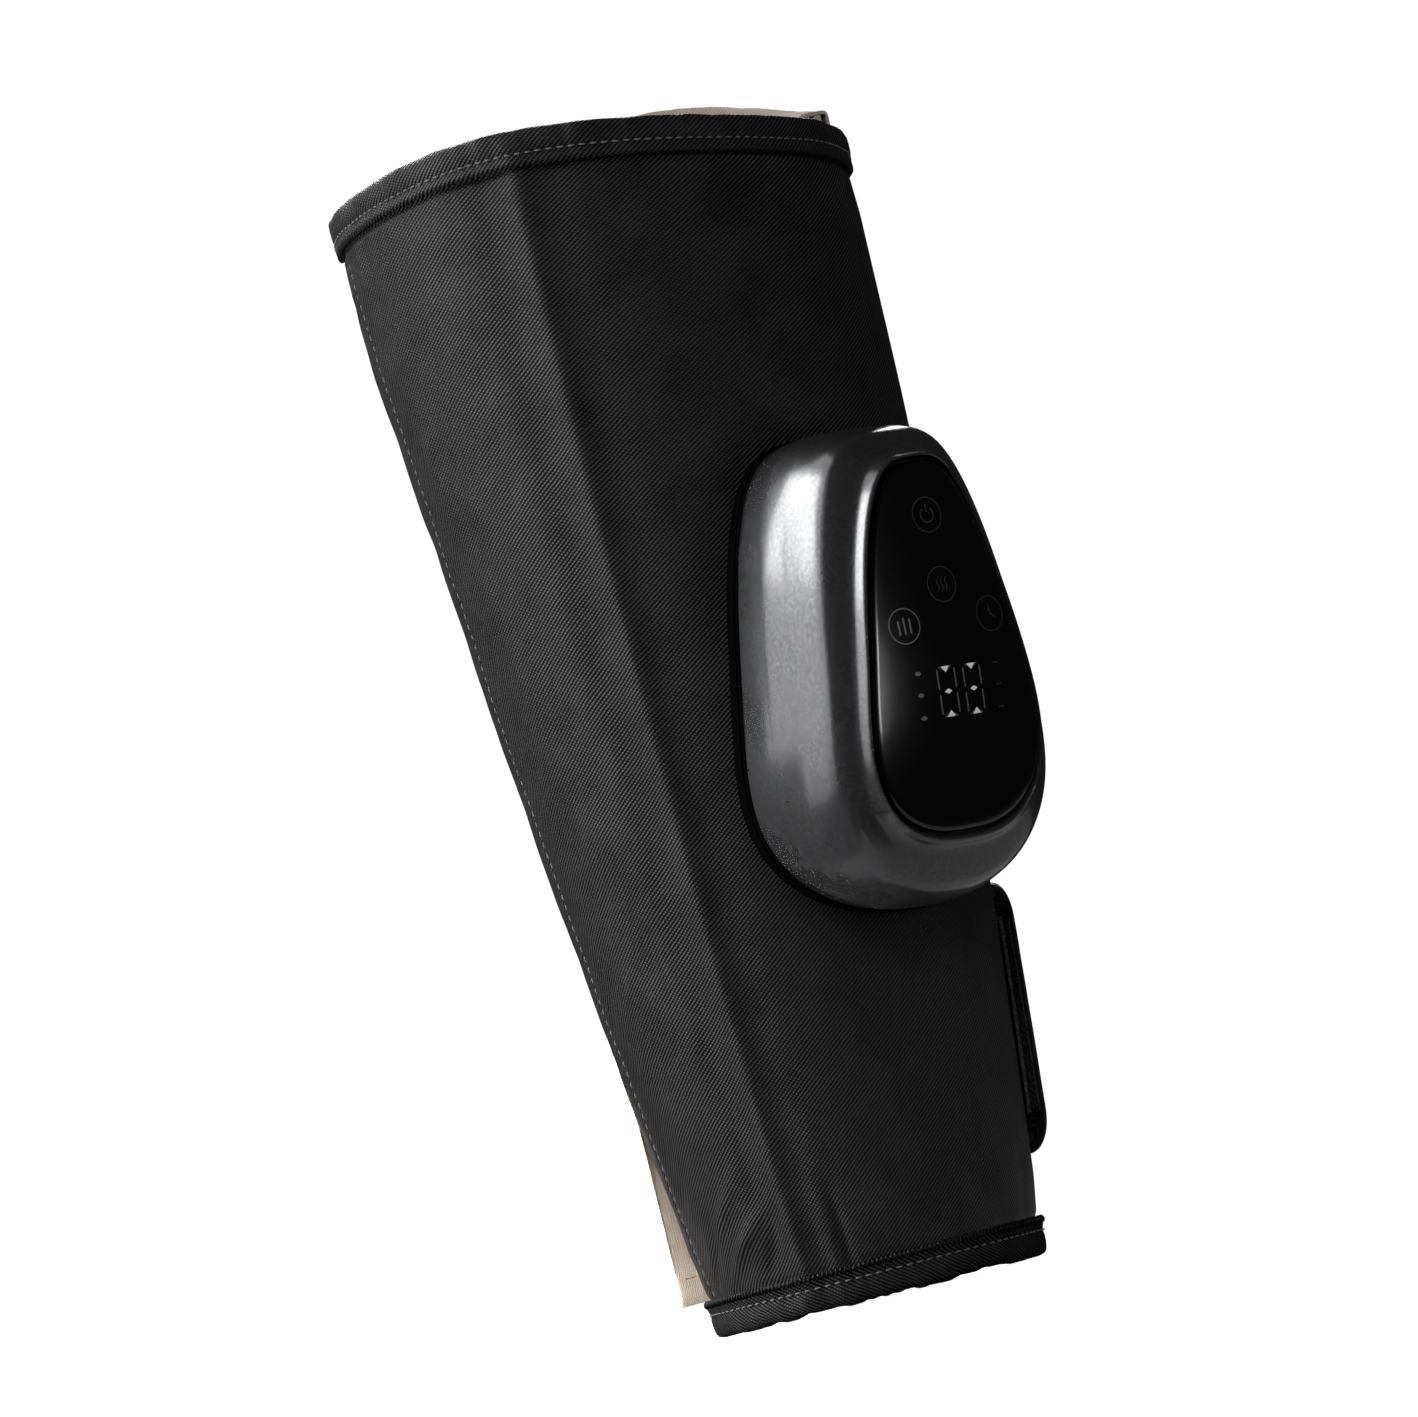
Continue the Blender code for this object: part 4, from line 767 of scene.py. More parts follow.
def make_flap():
    angles = (FLAP_FREE, HINGE + 360 - HINGE_GAP)
    cover = padded_panel("flap_cover", angles, lambda a: FLAP_LIFT + PANEL_CLEAR,
                         lambda a: flap_top(a) - PANEL_CLEAR, FLAP_STACK, flap_relief, 150, 170, "flap",
                         beige_roll=ROLL_STEPS - 1)
    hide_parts("back_shell", "back_lining", "back_lower_air_chamber", "back_upper_air_chamber",
                "heating_film")
    top = hem("flap_top_binding", angles, flap_top, False, FLAP_STACK, 190, "flap", FLAP_TOP_RIPPLE,
              flap_relief, beige_from=-1, cap_finishes=(1, 0))
    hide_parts("back_top_hem")
    bottom = hem("flap_bottom_binding", angles, flap_bottom, True, FLAP_STACK, 190, "flap",
                 FLAP_BOTTOM_RIPPLE, flap_relief)
    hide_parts("back_bottom_hem")
    span = (angles[0] + STITCH_INSET, angles[1] - STITCH_INSET)
    hem_stitches("flap_top_stitches", span, flap_top, False, "flap", FLAP_TOP_RIPPLE)
    hem_stitches("flap_bottom_stitches", span, flap_bottom, True, "flap", FLAP_BOTTOM_RIPPLE)
    edge_stitches("flap_free_stitches", near_edge(FLAP_FREE, 1, EDGE_SEAM * MM), 25 * MM, 350 * MM,
                  flap_relief, "flap")


# The gusset behind the left edge

def gusset_place(share, height, depth):
    radius = base_radius(height)
    side, back = outward(FRONT_LEFT), outward(FRONT_LEFT - 90)
    turn = math.radians(FRONT_LEFT - HINGE - HINGE_GAP)
    start = (side * math.cos(turn) + back * math.sin(turn)) * radius
    along = side * math.sin(turn) - back * math.cos(turn)
    end = side * max(TAIL_REACH, radius) + back * LAYER_GAP
    bend = start + along * (end - start).length * 0.51
    point = start * (1 - share) ** 2 + bend * 2 * share * (1 - share) + end * share ** 2
    way = (bend - start) * (1 - share) + (end - bend) * share
    normal = Vector((-way.y, way.x, 0)).normalized()
    if normal.dot(point) < 0:
        normal.negate()
    point -= normal * depth
    point.z = height
    return point + LEG_AXIS, normal


GUSSET_WIDTH = 40 * MM
GUSSET_LOW, GUSSET_HIGH = 12.2 * MM, 350.6 * MM
GUSSET_SHARES = (0.03, 0.965)
GUSSET_HEM = 9.5
GUSSET_HEM_STEP = 0.6
GUSSET_THREAD_HEIGHT = 20.4 * MM


def make_gusset():
    """A thin padded panel, folded over its own bottom hem, the beige side towards the leg."""
    rows, columns, roll = 150, 30, GUSSET_STACK / 2
    skin_rows, marks = [], []
    low, high = GUSSET_LOW, GUSSET_HIGH
    first, last = GUSSET_SHARES
    for r in range(rows + 1):
        height = low + (high - low) * r / rows
        from_low = (height - low) / MM
        thick = (0.55 + 0.45 * smooth(from_low / 2.0)) * (0.55 + 0.45 * smooth((high - height) / (2 * MM)))
        step_in = GUSSET_HEM_STEP * smooth((from_low - GUSSET_HEM) / 0.8) * MM
        points, flat = [], []

        def wave_at(share):
            return 0.35 * MM * waves(share * 3, height / (40 * MM), 4.0)

        for c in range(columns + 1):
            share = first + (last - first) * c / columns
            depth = roll - roll * thick + step_in
            points.append(gusset_place(share, height, depth + wave_at(share))[0])
            flat.append((share * GUSSET_WIDTH, height))
        back = last * GUSSET_WIDTH + math.pi * roll
        for share, way in ((last, 1), (None, 0), (first, -1)):
            if way == 0:
                for c in range(columns + 1):
                    share = last - (last - first) * c / columns
                    depth = roll + roll * thick - step_in
                    points.append(gusset_place(share, height, depth + wave_at(share))[0])
                    flat.append((back + (last - share) * GUSSET_WIDTH, height))
                continue
            for step in range(1, ROLL_STEPS):
                turn = math.pi * step / ROLL_STEPS
                if way < 0:
                    turn = math.pi - turn
                over = roll * math.sin(turn) * way * 0.9
                depth = roll - roll * thick * math.cos(turn)
                points.append(gusset_place(share + over / (36 * MM), height, depth + wave_at(share))[0])
                begin = last * GUSSET_WIDTH if way > 0 else back + (last - first) * GUSSET_WIDTH
                flat.append((begin + roll * math.pi * step / ROLL_STEPS, height))
        skin_rows.append(points)
        marks.append(flat + [(back + (last - first) * GUSSET_WIDTH + math.pi * roll, height)])
    first_inner = columns
    last_inner = columns + ROLL_STEPS + columns + 1
    piece = skin("gusset_panel", skin_rows, marks, [BLACK_CLOTH, BEIGE_CLOTH], "wrap",
                 lambda r, c: 1 if first_inner <= c < last_inner else 0)
    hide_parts("gusset_shell", "gusset_lining")
    path = []
    for s in range(400):
        share = 0.05 + 0.90 * s / 399
        point, normal = gusset_place(share, GUSSET_THREAD_HEIGHT, GUSSET_STACK)
        path.append((point, -normal))
    stitches("gusset_hem_stitches", path, 2.0 * MM, 1.0 * MM, 0.24 * MM, BEIGE_THREAD, "wrap")


# The closure tab

def tab_root(height, lift):
    return wrap_point(TAB_HINGE, height, lift)


def tab_place(along, height, lift):
    turn = math.radians(TAB_HINGE)
    return tab_root(height, lift) - Vector((math.cos(turn), math.sin(turn), 0)) * along


def tab_reach(height):
    from_end = min(height - TAB_LOW, TAB_HIGH - height)
    length = TAB_LENGTH - 1.0 * MM
    if from_end >= TAB_CORNER:
        return length
    missing = TAB_CORNER - from_end
    return length - TAB_CORNER + math.sqrt(max(0, TAB_CORNER ** 2 - missing ** 2))


STRAP_ENDS = 68
STRAP_END_THICKNESS = 0.15
TAB_SEAM = 2.6 * MM


def strap(name, place, along_of, low, high, thickness, body, rows=90, columns=24):
    """A doubled strap of cloth with soft edges: each row runs out on its face and back on its inside."""
    skin_rows, marks = [], []
    for r in range(rows + 1):
        share = (1 - math.cos(math.pi * r / rows)) / 2
        height = low + (high - low) * share
        start, end = along_of(height)
        near = min(1.0, min(share, 1 - share) * STRAP_ENDS)
        ends = max(STRAP_END_THICKNESS, math.sqrt(1 - (1 - near) ** 2))
        points, flat = [], []
        half = thickness / 2
        for c in range(columns * 2):
            turn = math.tau * c / (columns * 2)
            across = math.copysign(abs(math.cos(turn)) ** 0.25, math.cos(turn))
            lift = math.copysign(abs(math.sin(turn)) ** 0.5, math.sin(turn))
            along = (start + end) / 2 - (end - start) / 2 * across
            puff = 0.12 * MM * waves(along * 140, height * 90, 2.0)
            points.append(place(along, height, half * lift * ends - half + puff))
            flat.append(((end - start) * c / columns, height))
        skin_rows.append(points)
        marks.append(flat + [(2 * (end - start), height)])
    return skin(name, skin_rows, marks, [HEM_CLOTH], body)


def make_tab():
    lift = LAYER_GAP + TAB_THICKNESS
    piece = strap("closure_tab", lambda along, height, rise: tab_place(along, height, lift + rise),
                  lambda height: (LAYER_GAP, tab_reach(height)), TAB_LOW, TAB_HIGH, TAB_THICKNESS, "tab")
    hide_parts("tab_strap")

    def anchor_place(along, height, rise):
        angle = TAB_HINGE + math.degrees(along / base_radius(height))
        return wrap_point(angle, height, lift + rise)

    def anchor_reach(height):
        return 0, math.radians(ANCHOR_SPAN) * base_radius(height)

    anchor = strap("tab_anchor_patch", anchor_place, anchor_reach, TAB_LOW, TAB_HIGH, TAB_THICKNESS, "flap")
    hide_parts("tab_anchor")
    low, high = TAB_LOW + TAB_SEAM, TAB_HIGH - TAB_SEAM
    line = [(LAYER_GAP + 3 * MM, low)]
    for s in range(500):
        height = low + (high - low) * s / 499
        line.append((tab_reach(TAB_LOW + (TAB_HIGH - TAB_LOW) * s / 499) - TAB_SEAM, height))
    line.append((LAYER_GAP + 3 * MM, high))
    path = []
    for a, b in zip(line, line[1:]):
        steps = max(1, int(math.hypot(b[0] - a[0], b[1] - a[1]) / (0.2 * MM)))
        for s in range(steps):
            along, height = a[0] + (b[0] - a[0]) * s / steps, a[1] + (b[1] - a[1]) * s / steps
            path.append((tab_place(along, height, lift + 0.05 * MM), outward(TAB_HINGE)))
    stitches("tab_stitches", path, 2.1 * MM, 1.0 * MM, 0.24 * MM, GREY_THREAD, "tab")


# The pod

def egg(turn, shape):
    """One point of a rounded outline, narrower towards the top, its squareness changing from end to end."""
    half_width, half_height, taper, square_high, square_low = shape
    across, up = math.sin(turn), math.cos(turn)
    power = 2 / (square_high + (square_low - square_high) * (1 - up) / 2)
    height = math.copysign(abs(up) ** power, up)
    width = math.copysign(abs(across) ** power, across) * (1 - taper * height)
    return half_width * width, half_height * height


def outline(share, turn):
    """Between the base outline (share 0) and the panel outline (share 1)."""
    base, panel = egg(turn, BASE_SHAPE), egg(turn, PANEL_SHAPE)
    low, high = base[1] + BASE_RISE, panel[1] + PANEL_RISE
    return base[0] + (panel[0] - base[0]) * share, low + (high - low) * share


def front_depth(across, up, depth):
    """A depth with the front's swell, which falls away to the sides and to the low end."""
    foot = min(0, up - FOOT_DROP_START) / (FOOT_DROP_START + PANEL_SHAPE[1] - PANEL_RISE)
    drop = FRONT_SIDE_DROP * (across / PANEL_SHAPE[0]) ** 2 + FRONT_FOOT_DROP * foot ** 2
    return depth + (FRONT_SWELL - drop) * (depth / BEZEL_DEPTH) ** 2


POD_PLACE = LEG_AXIS + Vector((0, -wrap_radius(0, POD_RISE), POD_RISE))
POD_MATRIX = Matrix.Translation(POD_PLACE) @ Matrix.Rotation(POD_TILT, 4, "X")
POD_SEGMENTS = 160


def even_turns():
    """Turns that space the outline's points evenly, so that the squarer parts stay smooth."""
    fine = [math.tau * i / 4000 for i in range(4001)]
    places = [outline(0.5, turn) for turn in fine]
    reach = [0.0]
    for a, b in zip(places, places[1:]):
        reach.append(reach[-1] + math.hypot(b[0] - a[0], b[1] - a[1]))
    turns, at = [], 0
    for i in range(POD_SEGMENTS):
        goal = reach[-1] * i / POD_SEGMENTS
        while reach[at + 1] < goal:
            at += 1
        turns.append(fine[at] + (fine[at + 1] - fine[at]) * (goal - reach[at]) / (reach[at + 1] - reach[at]))
    return turns


TURNS = even_turns()


def seat_depth(across, up, clearance):
    """How far out from the pod's frame the cloth lies at one place, plus a clearance."""
    depth = 0.0
    for _ in range(12):
        point = POD_MATRIX @ Vector((across, -depth, up)) - LEG_AXIS
        radius = math.hypot(point.x, point.y)
        angle = math.degrees(math.atan2(point.x, -point.y))
        depth -= (radius - wrap_radius(angle, point.z) - clearance) * radius / -point.y
    return depth


def drawn_left(x, share):
    """The right side's upper parts stand a little nearer the middle than the outlines give."""
    trim = RIGHT_TRIM * smooth(share / 0.3) + (LIP_TRIM - RIGHT_TRIM) * smooth((share - 0.5) / 0.4)
    return x - trim * smooth(x / (24 * MM))


def front_ring(share, depth):
    places = [outline(share, turn) for turn in TURNS]
    places = [(drawn_left(x, share), z) for x, z in places]
    return [POD_MATRIX @ Vector((x, -front_depth(x, z, depth), z)) for x, z in places]


def seated_ring(share, clearance):
    places = [outline(share, turn) for turn in TURNS]
    return [POD_MATRIX @ Vector((x, -seat_depth(x, z, clearance), z)) for x, z in places]


def curve_through(points, steps):
    """A smooth run of points through a few given ones."""
    ends = [points[0]] + list(points) + [points[-1]]
    run = []
    for a, b, c, d in zip(ends, ends[1:], ends[2:], ends[3:]):
        for s in range(steps):
            t = s / steps
            run.append(tuple(0.5 * (2 * q + (r - p) * t + (2 * p - 5 * q + 4 * r - e) * t * t
                                    + (3 * q - p - 3 * r + e) * t ** 3) for p, q, r, e in zip(a, b, c, d)))
    run.append(tuple(points[-1]))
    return run


# The housing's section as (share of the way from base to panel outline, share of the bezel depth)
HOUSING_WALL = ((0.030, 0.14), (0.016, 0.22), (0.022, 0.33), (0.048, 0.45), (0.10, 0.56), (0.155, 0.66),
                (0.215, 0.735), (0.285, 0.792))
HOUSING_SHOULDER = ((0.285, 0.792), (0.318, 0.812), (0.36, 0.828), (0.42, 0.845))
HOUSING_BEZEL = ((0.42, 0.845), (0.56, 0.872), (0.66, 0.888), (0.74, 0.902), (0.80, 0.923), (0.845, 0.955),
                 (0.878, 0.992), (0.90, 1.008))
HOUSING_LIP = ((0.921, 1.017), (0.942, 1.019), (0.962, 1.013), (0.98, 0.998), (0.992, 0.978), (0.998, 0.955))
HOUSING_INSIDE = ((0.86, 0.80), (0.66, 0.74), (0.50, 0.69), (0.38, 0.60), (0.32, 0.44), (0.26, 0.20))
RIGHT_TRIM = 1.4 * MM
LIP_TRIM = 2.1 * MM
LEDGE_SHARE = 1.16
LEDGE_THICKNESS = 2 * MM
BASE_BAND = 1.3


def make_housing():
    """The lacquered shell: a steep wall, a tight shoulder, a sloping bezel and a rolled lip."""
    rings = [seated_ring(0.055, PARTING), seated_ring(0.040, PARTING + 0.5 * MM)]
    section = curve_through(HOUSING_WALL, 4)[:-1] + curve_through(HOUSING_SHOULDER, 4)[:-1]
    section += curve_through(HOUSING_BEZEL, 3) + list(HOUSING_LIP)
    rings += [front_ring(share, BEZEL_DEPTH * depth) for share, depth in section]
    rings += [front_ring(1.0, LEDGE_DEPTH), front_ring(LEDGE_SHARE, LEDGE_DEPTH)]
    rings += [front_ring(LEDGE_SHARE, LEDGE_DEPTH - LEDGE_THICKNESS)]
    rings += [front_ring(share, BEZEL_DEPTH * depth) for share, depth in HOUSING_INSIDE]
    rings += [seated_ring(0.24, PARTING), seated_ring(0.055, PARTING)]
    housing = pull_rings("pod_housing", rings, GUNMETAL, "wrap", joined=True)
    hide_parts("front_casing")
    cut_port(housing)


def make_base_band():
    """The black rim between the cloth and the lacquered shell; its near-black matte finish is painted shade
    of the shadow gap there.
    """
    low, high = PARTING + 0.1 * MM, PARTING + BASE_BAND * MM
    rings = [seated_ring(0.06, low), seated_ring(0.02, low), seated_ring(0.0, low + 0.4 * MM)]
    rings += [seated_ring(0.004, high - 0.5 * MM), seated_ring(0.02, high), seated_ring(0.058, high)]
    rings.append(seated_ring(0.06, low))
    pull_rings("pod_base_band", rings, BLACK_FOAM_AND_SHADE, "wrap", joined=True)


PANEL_MIDDLE = outline(1, math.pi / 2)[1]
PANEL_RIM = [outline(PANEL_SHARE, math.tau * i / 720) for i in range(720)]


def bearing(x, z):
    return math.atan2(x, z - PANEL_MIDDLE)


def panel_scale(x, z):
    """How far a place on the panel is from its middle, as a share of the way to the panel's edge."""
    aim = bearing(x, z)
    rim = max(PANEL_RIM, key=lambda place: math.cos(bearing(*place) - aim))
    return min(1.0, math.hypot(x, z - PANEL_MIDDLE) / math.hypot(rim[0], rim[1] - PANEL_MIDDLE))


def panel_depth(x, z):
    return front_depth(x, z, PANEL_EDGE_DEPTH + PANEL_CROWN * (1 - panel_scale(x, z) ** 2))


def on_panel(x, z, lift=0.03 * MM):
    return POD_MATRIX @ Vector((x, -panel_depth(x, z) - lift, z))


PANEL_ROUND = ((1.055, 1.9), (1.055, 1.15), (1.062, 0.75), (1.077, 0.4), (1.10, 0.14), (1.13, 0.0))
PANEL_RINGS = (0.92, 0.86, 0.79, 0.71, 0.62, 0.52, 0.42, 0.32, 0.22, 0.12, 0.03)


def make_panel():
    """The black lens, its edge rounded over just inside the lip."""
    rings = []
    for share, drop in PANEL_ROUND:
        places = [outline(share, turn) for turn in TURNS]
        rings.append([on_panel(drawn_left(x, 1), z, -drop * MM) for x, z in places])
    rim = [outline(PANEL_SHARE, turn) for turn in TURNS]
    for scale in PANEL_RINGS:
        places = [(x * scale, PANEL_MIDDLE + (z - PANEL_MIDDLE) * scale) for x, z in rim]
        rings.append([on_panel(drawn_left(x, 1), z, 0) for x, z in places])
    panel = pull_rings("glossy_panel", rings, PANEL_BLACK, "wrap", capped=True)
    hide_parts("touch_panel")


def cut_port(housing):
    """The charging port's slot, cut through the wall in line with its socket."""
    deselect()
    bpy.ops.mesh.primitive_cylinder_add(vertices=32, radius=PORT_RADIUS, depth=PORT_CUT, location=(0, 0, 0))
    cutter = bpy.context.object
    bpy.ops.object.mode_set(mode="EDIT")
    bm = bmesh.from_edit_mesh(cutter.data)
    for vertex in bm.verts:
        x, y, z = vertex.co
        y += math.copysign(PORT_HALF_LENGTH, y) if abs(y) > 1e-6 else 0
        vertex.co = POD_MATRIX @ Vector((BASE_SHAPE[0] - 2 * MM + z, -PORT_DEPTH + x, PORT_RISE + y))
    bmesh.update_edit_mesh(cutter.data)
    bpy.ops.mesh.normals_make_consistent(inside=False)
    bpy.ops.object.mode_set(mode="OBJECT")
    cut = housing.modifiers.new("port", "BOOLEAN")
    cut.operation = "DIFFERENCE"
    cut.solver = "EXACT"
    cut.object = cutter
    bpy.context.view_layer.objects.active = housing
    bpy.ops.object.modifier_apply(modifier="port")
    bpy.data.objects.remove(cutter)


# Printed marks on the panel

def printed(name, shapes, material):
    """Flat marks, each an outline of points (x, z), some with a hole, laid on the panel as a thin film."""
    parts = []
    for outer, inner in shapes:
        part = place_circle([(x, 0, z) for x, z in outer])
        if inner:
            extrude_to(part, [(x, 0, z) for x, z in outer], [(x, 0, z) for x, z in inner])
        else:
            bpy.ops.mesh.edge_face_add()
        bpy.ops.object.mode_set(mode="OBJECT")
        parts.append(part)
    deselect()
    for part in parts:
        part.select_set(True)
    bpy.context.view_layer.objects.active = parts[0]
    bpy.ops.object.join()
    piece = bpy.context.object
    piece.name = piece.data.name = name
    for vertex in piece.data.vertices:
        vertex.co = on_panel(vertex.co.x, vertex.co.z)
    front = POD_MATRIX.to_3x3() @ Vector((0, -1, 0))
    bm = bmesh.new()
    bm.from_mesh(piece.data)
    bm.normal_update()
    for face in bm.faces:
        if face.normal.dot(front) < 0:
            face.normal_flip()
    bm.to_mesh(piece.data)
    bm.free()
    thick = piece.modifiers.new("print", "SOLIDIFY")
    thick.thickness, thick.offset = PRINT_THICKNESS, 1.0
    bpy.ops.object.modifier_apply(modifier="print")
    piece.data.materials.append(material)
    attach(piece, "wrap")
    return piece


def round_points(x, z, radius, count=48):
    turns = [math.tau * i / count for i in range(count)]
    return [(x + radius * math.sin(turn), z + radius * math.cos(turn)) for turn in turns]


def bar(x0, z0, x1, z1, width):
    along = Vector((x1 - x0, z1 - z0)).normalized() * width / 2
    side = Vector((-along.y, along.x))
    return [(x0 + side.x, z0 + side.y), (x0 - along.x, z0 - along.y), (x0 - side.x, z0 - side.y),
            (x1 - side.x, z1 - side.y), (x1 + along.x, z1 + along.y), (x1 + side.x, z1 + side.y)]


def arc_mark(x, z, radius, width, start, sweep, count=20):
    turns = [start + sweep * i / count for i in range(count + 1)]
    far, near = radius + width / 2, radius - width / 2
    outer = [(x + far * math.sin(turn), z + far * math.cos(turn)) for turn in turns]
    inner = [(x + near * math.sin(turn), z + near * math.cos(turn)) for turn in reversed(turns)]
    return outer + inner


# Places of the printed marks in the pod's own frame, in millimetres across and up
POWER_KEY = (0, 41.4)
HEAT_KEY = (0, 20.8)
PRESSURE_KEY = (-15.8, 10.6)
TIMER_KEY = (15.8, 10.2)
KEY_RADIUS = 5.3
KEY_LINE = 0.34
PRINT_THICKNESS = 0.03 * MM
DIGIT_PLACES = ((-4.7, -10.0), (4.7, -10.4))
LEVEL_MARKS = (-3.6, -9.9, -16.5)
LEVEL_MARK_ACROSS = 14.4


def key_ring(place):
    x, z = place[0] * MM, place[1] * MM
    return round_points(x, z, KEY_RADIUS * MM), round_points(x, z, (KEY_RADIUS - KEY_LINE) * MM)


def stroke(place, x0, z0, x1, z1, width):
    x, z = place
    return bar((x + x0) * MM, (z + z0) * MM, (x + x1) * MM, (z + z1) * MM, width * MM), None


def make_marks():
    """Touch rings with a power sign, a heat sign, a bar sign and a clock, level marks and two digits."""
    faint = [key_ring(POWER_KEY), key_ring(HEAT_KEY), key_ring(TIMER_KEY)]
    clear = [key_ring(PRESSURE_KEY)]
    x, z = POWER_KEY
    faint.append((arc_mark(x * MM, z * MM, 2.3 * MM, 0.42 * MM, 0.7, math.tau - 1.4), None))
    faint.append(stroke(POWER_KEY, 0, 0.9, 0, 3.0, 0.42))
    for x in (-1.5, 0, 1.5):
        for step, way in ((-1.4, 1), (0, -1), (1.4, 1)):
            faint.append(stroke(HEAT_KEY, x - 0.35 * way, step - 0.7, x + 0.35 * way, step + 0.7, 0.38))
    for x, low, high in ((-1.9, -2.3, 1.5), (0, -2.3, 2.3), (1.9, -2.3, 1.8)):
        clear.append(stroke(PRESSURE_KEY, x, low, x, high, 0.6))
    faint.append(stroke(TIMER_KEY, 0, 0, 0, 2.9, 0.42))
    faint.append(stroke(TIMER_KEY, 0, 0, 2.0, -1.2, 0.42))
    for z in LEVEL_MARKS:
        clear.append(stroke((-LEVEL_MARK_ACROSS, z), -0.5, 0, 0.5, 0, 1.2))
        faint.append(stroke((LEVEL_MARK_ACROSS, z), -1.0, -0.5, 1.0, -0.5, 0.5))
    lit = []
    for place in DIGIT_PLACES:
        digit(place[0] * MM, place[1] * MM, clear, lit)
    printed("panel_marks_faint", faint, PRINT_FAINT)
    printed("panel_marks", clear, PRINT_GREY)
    printed("panel_digits_lit", lit, PRINT_PALE)


def digit(x, z, dim, lit):
    """One seven-segment figure: its upright slits, and the bright middles of its level segments."""
    half_wide, half_tall, drop = 3.1 * MM, 7.3 * MM, 1.8 * MM
    for side in (-1, 1):
        for low, high in ((-half_tall + 1.0 * MM, -0.9 * MM), (0.9 * MM, half_tall - 1.0 * MM)):
            edge = x + side * half_wide
            dim.append((bar(edge, z + low, edge, z + high, 0.5 * MM), None))
    reach = half_wide - 0.6 * MM
    for level in (-1, 1):
        height = z + level * half_tall
        tip = height - level * drop
        lit.append(([(x - reach * 0.62, height), (x + reach * 0.62, height), (x, tip)], None))
        for side in (-1, 1):
            near = (x + side * reach * 0.3, height - level * drop * 0.7)
            dim.append(([(x + side * reach, height), (x + side * reach * 0.72, height), near], None))
    lit.append(([(x - reach * 0.55, z), (x, z + 0.75 * MM), (x + reach * 0.55, z), (x, z - 0.75 * MM)], None))


# The solids that the scene shows as they are, by their finish
NODE_FINISHES = {
    # the rear casing in the near-black foam finish, partly its own black, partly painted shade of the gap
    # under the shell
    BLACK_FOAM_AND_SHADE: ("rear_casing",),
    SOFT_RUBBER: ("panel_gasket", "pump_hose"),
    BOARD_GREEN: ("display_board", "main_board"),
    WHITE_MOULDED: ("digit_module", "air_manifold", "air_nipple_lower", "air_nipple_middle",
                    "air_nipple_upper"),
    BLUE_FILM: ("battery_pack",),
    MOULDED_BLACK: ("pump_head", "backing_plate"),
    PLATED: ("pump_motor", "pump_eccentric", "valve_body_lower", "valve_body_upper", "valve_plunger_lower",
             "valve_plunger_upper", "charge_socket", "pod_screw_1", "pod_screw_2", "pod_screw_3",
             "pod_screw_4"),
    TAPE: ("loop_patch", "tab_hook_patch"),
}


def finish_nodes():
    for material, names in NODE_FINISHES.items():
        for name in names:
            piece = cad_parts[name]
            piece.data.materials.clear()
            piece.data.materials.append(material)


# Camera, lights and floor

CAMERA_AZIMUTH = math.radians(-36)
CAMERA_DISTANCE = 1600 * MM
CAMERA_HEIGHT = 10 * MM
CAMERA_ROLL = math.radians(14.6)
AIM_HEIGHT = 188 * MM
PIXEL = 0.307 * MM
AIM_OFFSET = (20.6, 8.2)
LENS = 133.2
WORLD_LIGHT = 0.02
FLOOR_GLOW = 0.8


def make_camera():
    ahead = Vector((-math.sin(CAMERA_AZIMUTH), math.cos(CAMERA_AZIMUTH), 0))
    place = LEG_AXIS - ahead * CAMERA_DISTANCE + Vector((0, 0, CAMERA_HEIGHT))
    aim = LEG_AXIS + Vector((0, 0, AIM_HEIGHT))
    for _ in range(2):
        forward = (aim - place).normalized()
        level = forward.cross(Vector((0, 0, 1))).normalized()
        up = level.cross(forward)
        right = level * math.cos(CAMERA_ROLL) - up * math.sin(CAMERA_ROLL)
        top = level * math.sin(CAMERA_ROLL) + up * math.cos(CAMERA_ROLL)
        shift = right * AIM_OFFSET[0] * PIXEL + top * AIM_OFFSET[1] * PIXEL
        aim = LEG_AXIS + Vector((0, 0, AIM_HEIGHT)) - shift
    data = bpy.data.cameras.new("camera")
    data.lens = LENS
    data.sensor_width = 36
    data.clip_end = 30
    camera = bpy.data.objects.new("camera", data)
    bpy.context.collection.objects.link(camera)
    turned = Matrix((right, top, -forward)).transposed().to_4x4()
    camera.matrix_world = Matrix.Translation(place) @ turned
    bpy.context.scene.camera = camera


def softbox(name, angle, distance, height, width, tall, power, aim_height, hidden_from=()):
    """An area light at an angle round the leg, aimed at its axis; sizes in metres, power in watts."""
    data = bpy.data.lights.new(name, "AREA")
    data.shape = "RECTANGLE"
    data.size, data.size_y = width, tall
    data.energy = power
    data.spread = math.pi
    light = bpy.data.objects.new(name, data)
    bpy.context.collection.objects.link(light)
    place = LEG_AXIS + outward(angle) * distance + Vector((0, 0, height))
    aim = LEG_AXIS + Vector((0, 0, aim_height))
    turned = (place - aim).to_track_quat("Z", "Y").to_matrix().to_4x4()
    light.matrix_world = Matrix.Translation(place) @ turned
    light.visible_diffuse = "diffuse" not in hidden_from
    light.visible_glossy = "glossy" not in hidden_from
    return light


def keep_light_to(light, piece):
    """The lamp reaches one piece alone, as a small card held near it would."""
    lit = bpy.data.collections.new("lit_by_" + light.name)
    lit.objects.link(bpy.data.objects[piece])
    light.light_linking.receiver_collection = lit


def pale_material(name, colour, glow):
    material, tree, shader = new_material(name)
    shader.inputs["Base Color"].default_value = (*colour, 1)
    shader.inputs["Roughness"].default_value = 0.8
    shader.inputs["Emission Color"].default_value = (1, 1, 1, 1)
    shader.inputs["Emission Strength"].default_value = glow
    return material


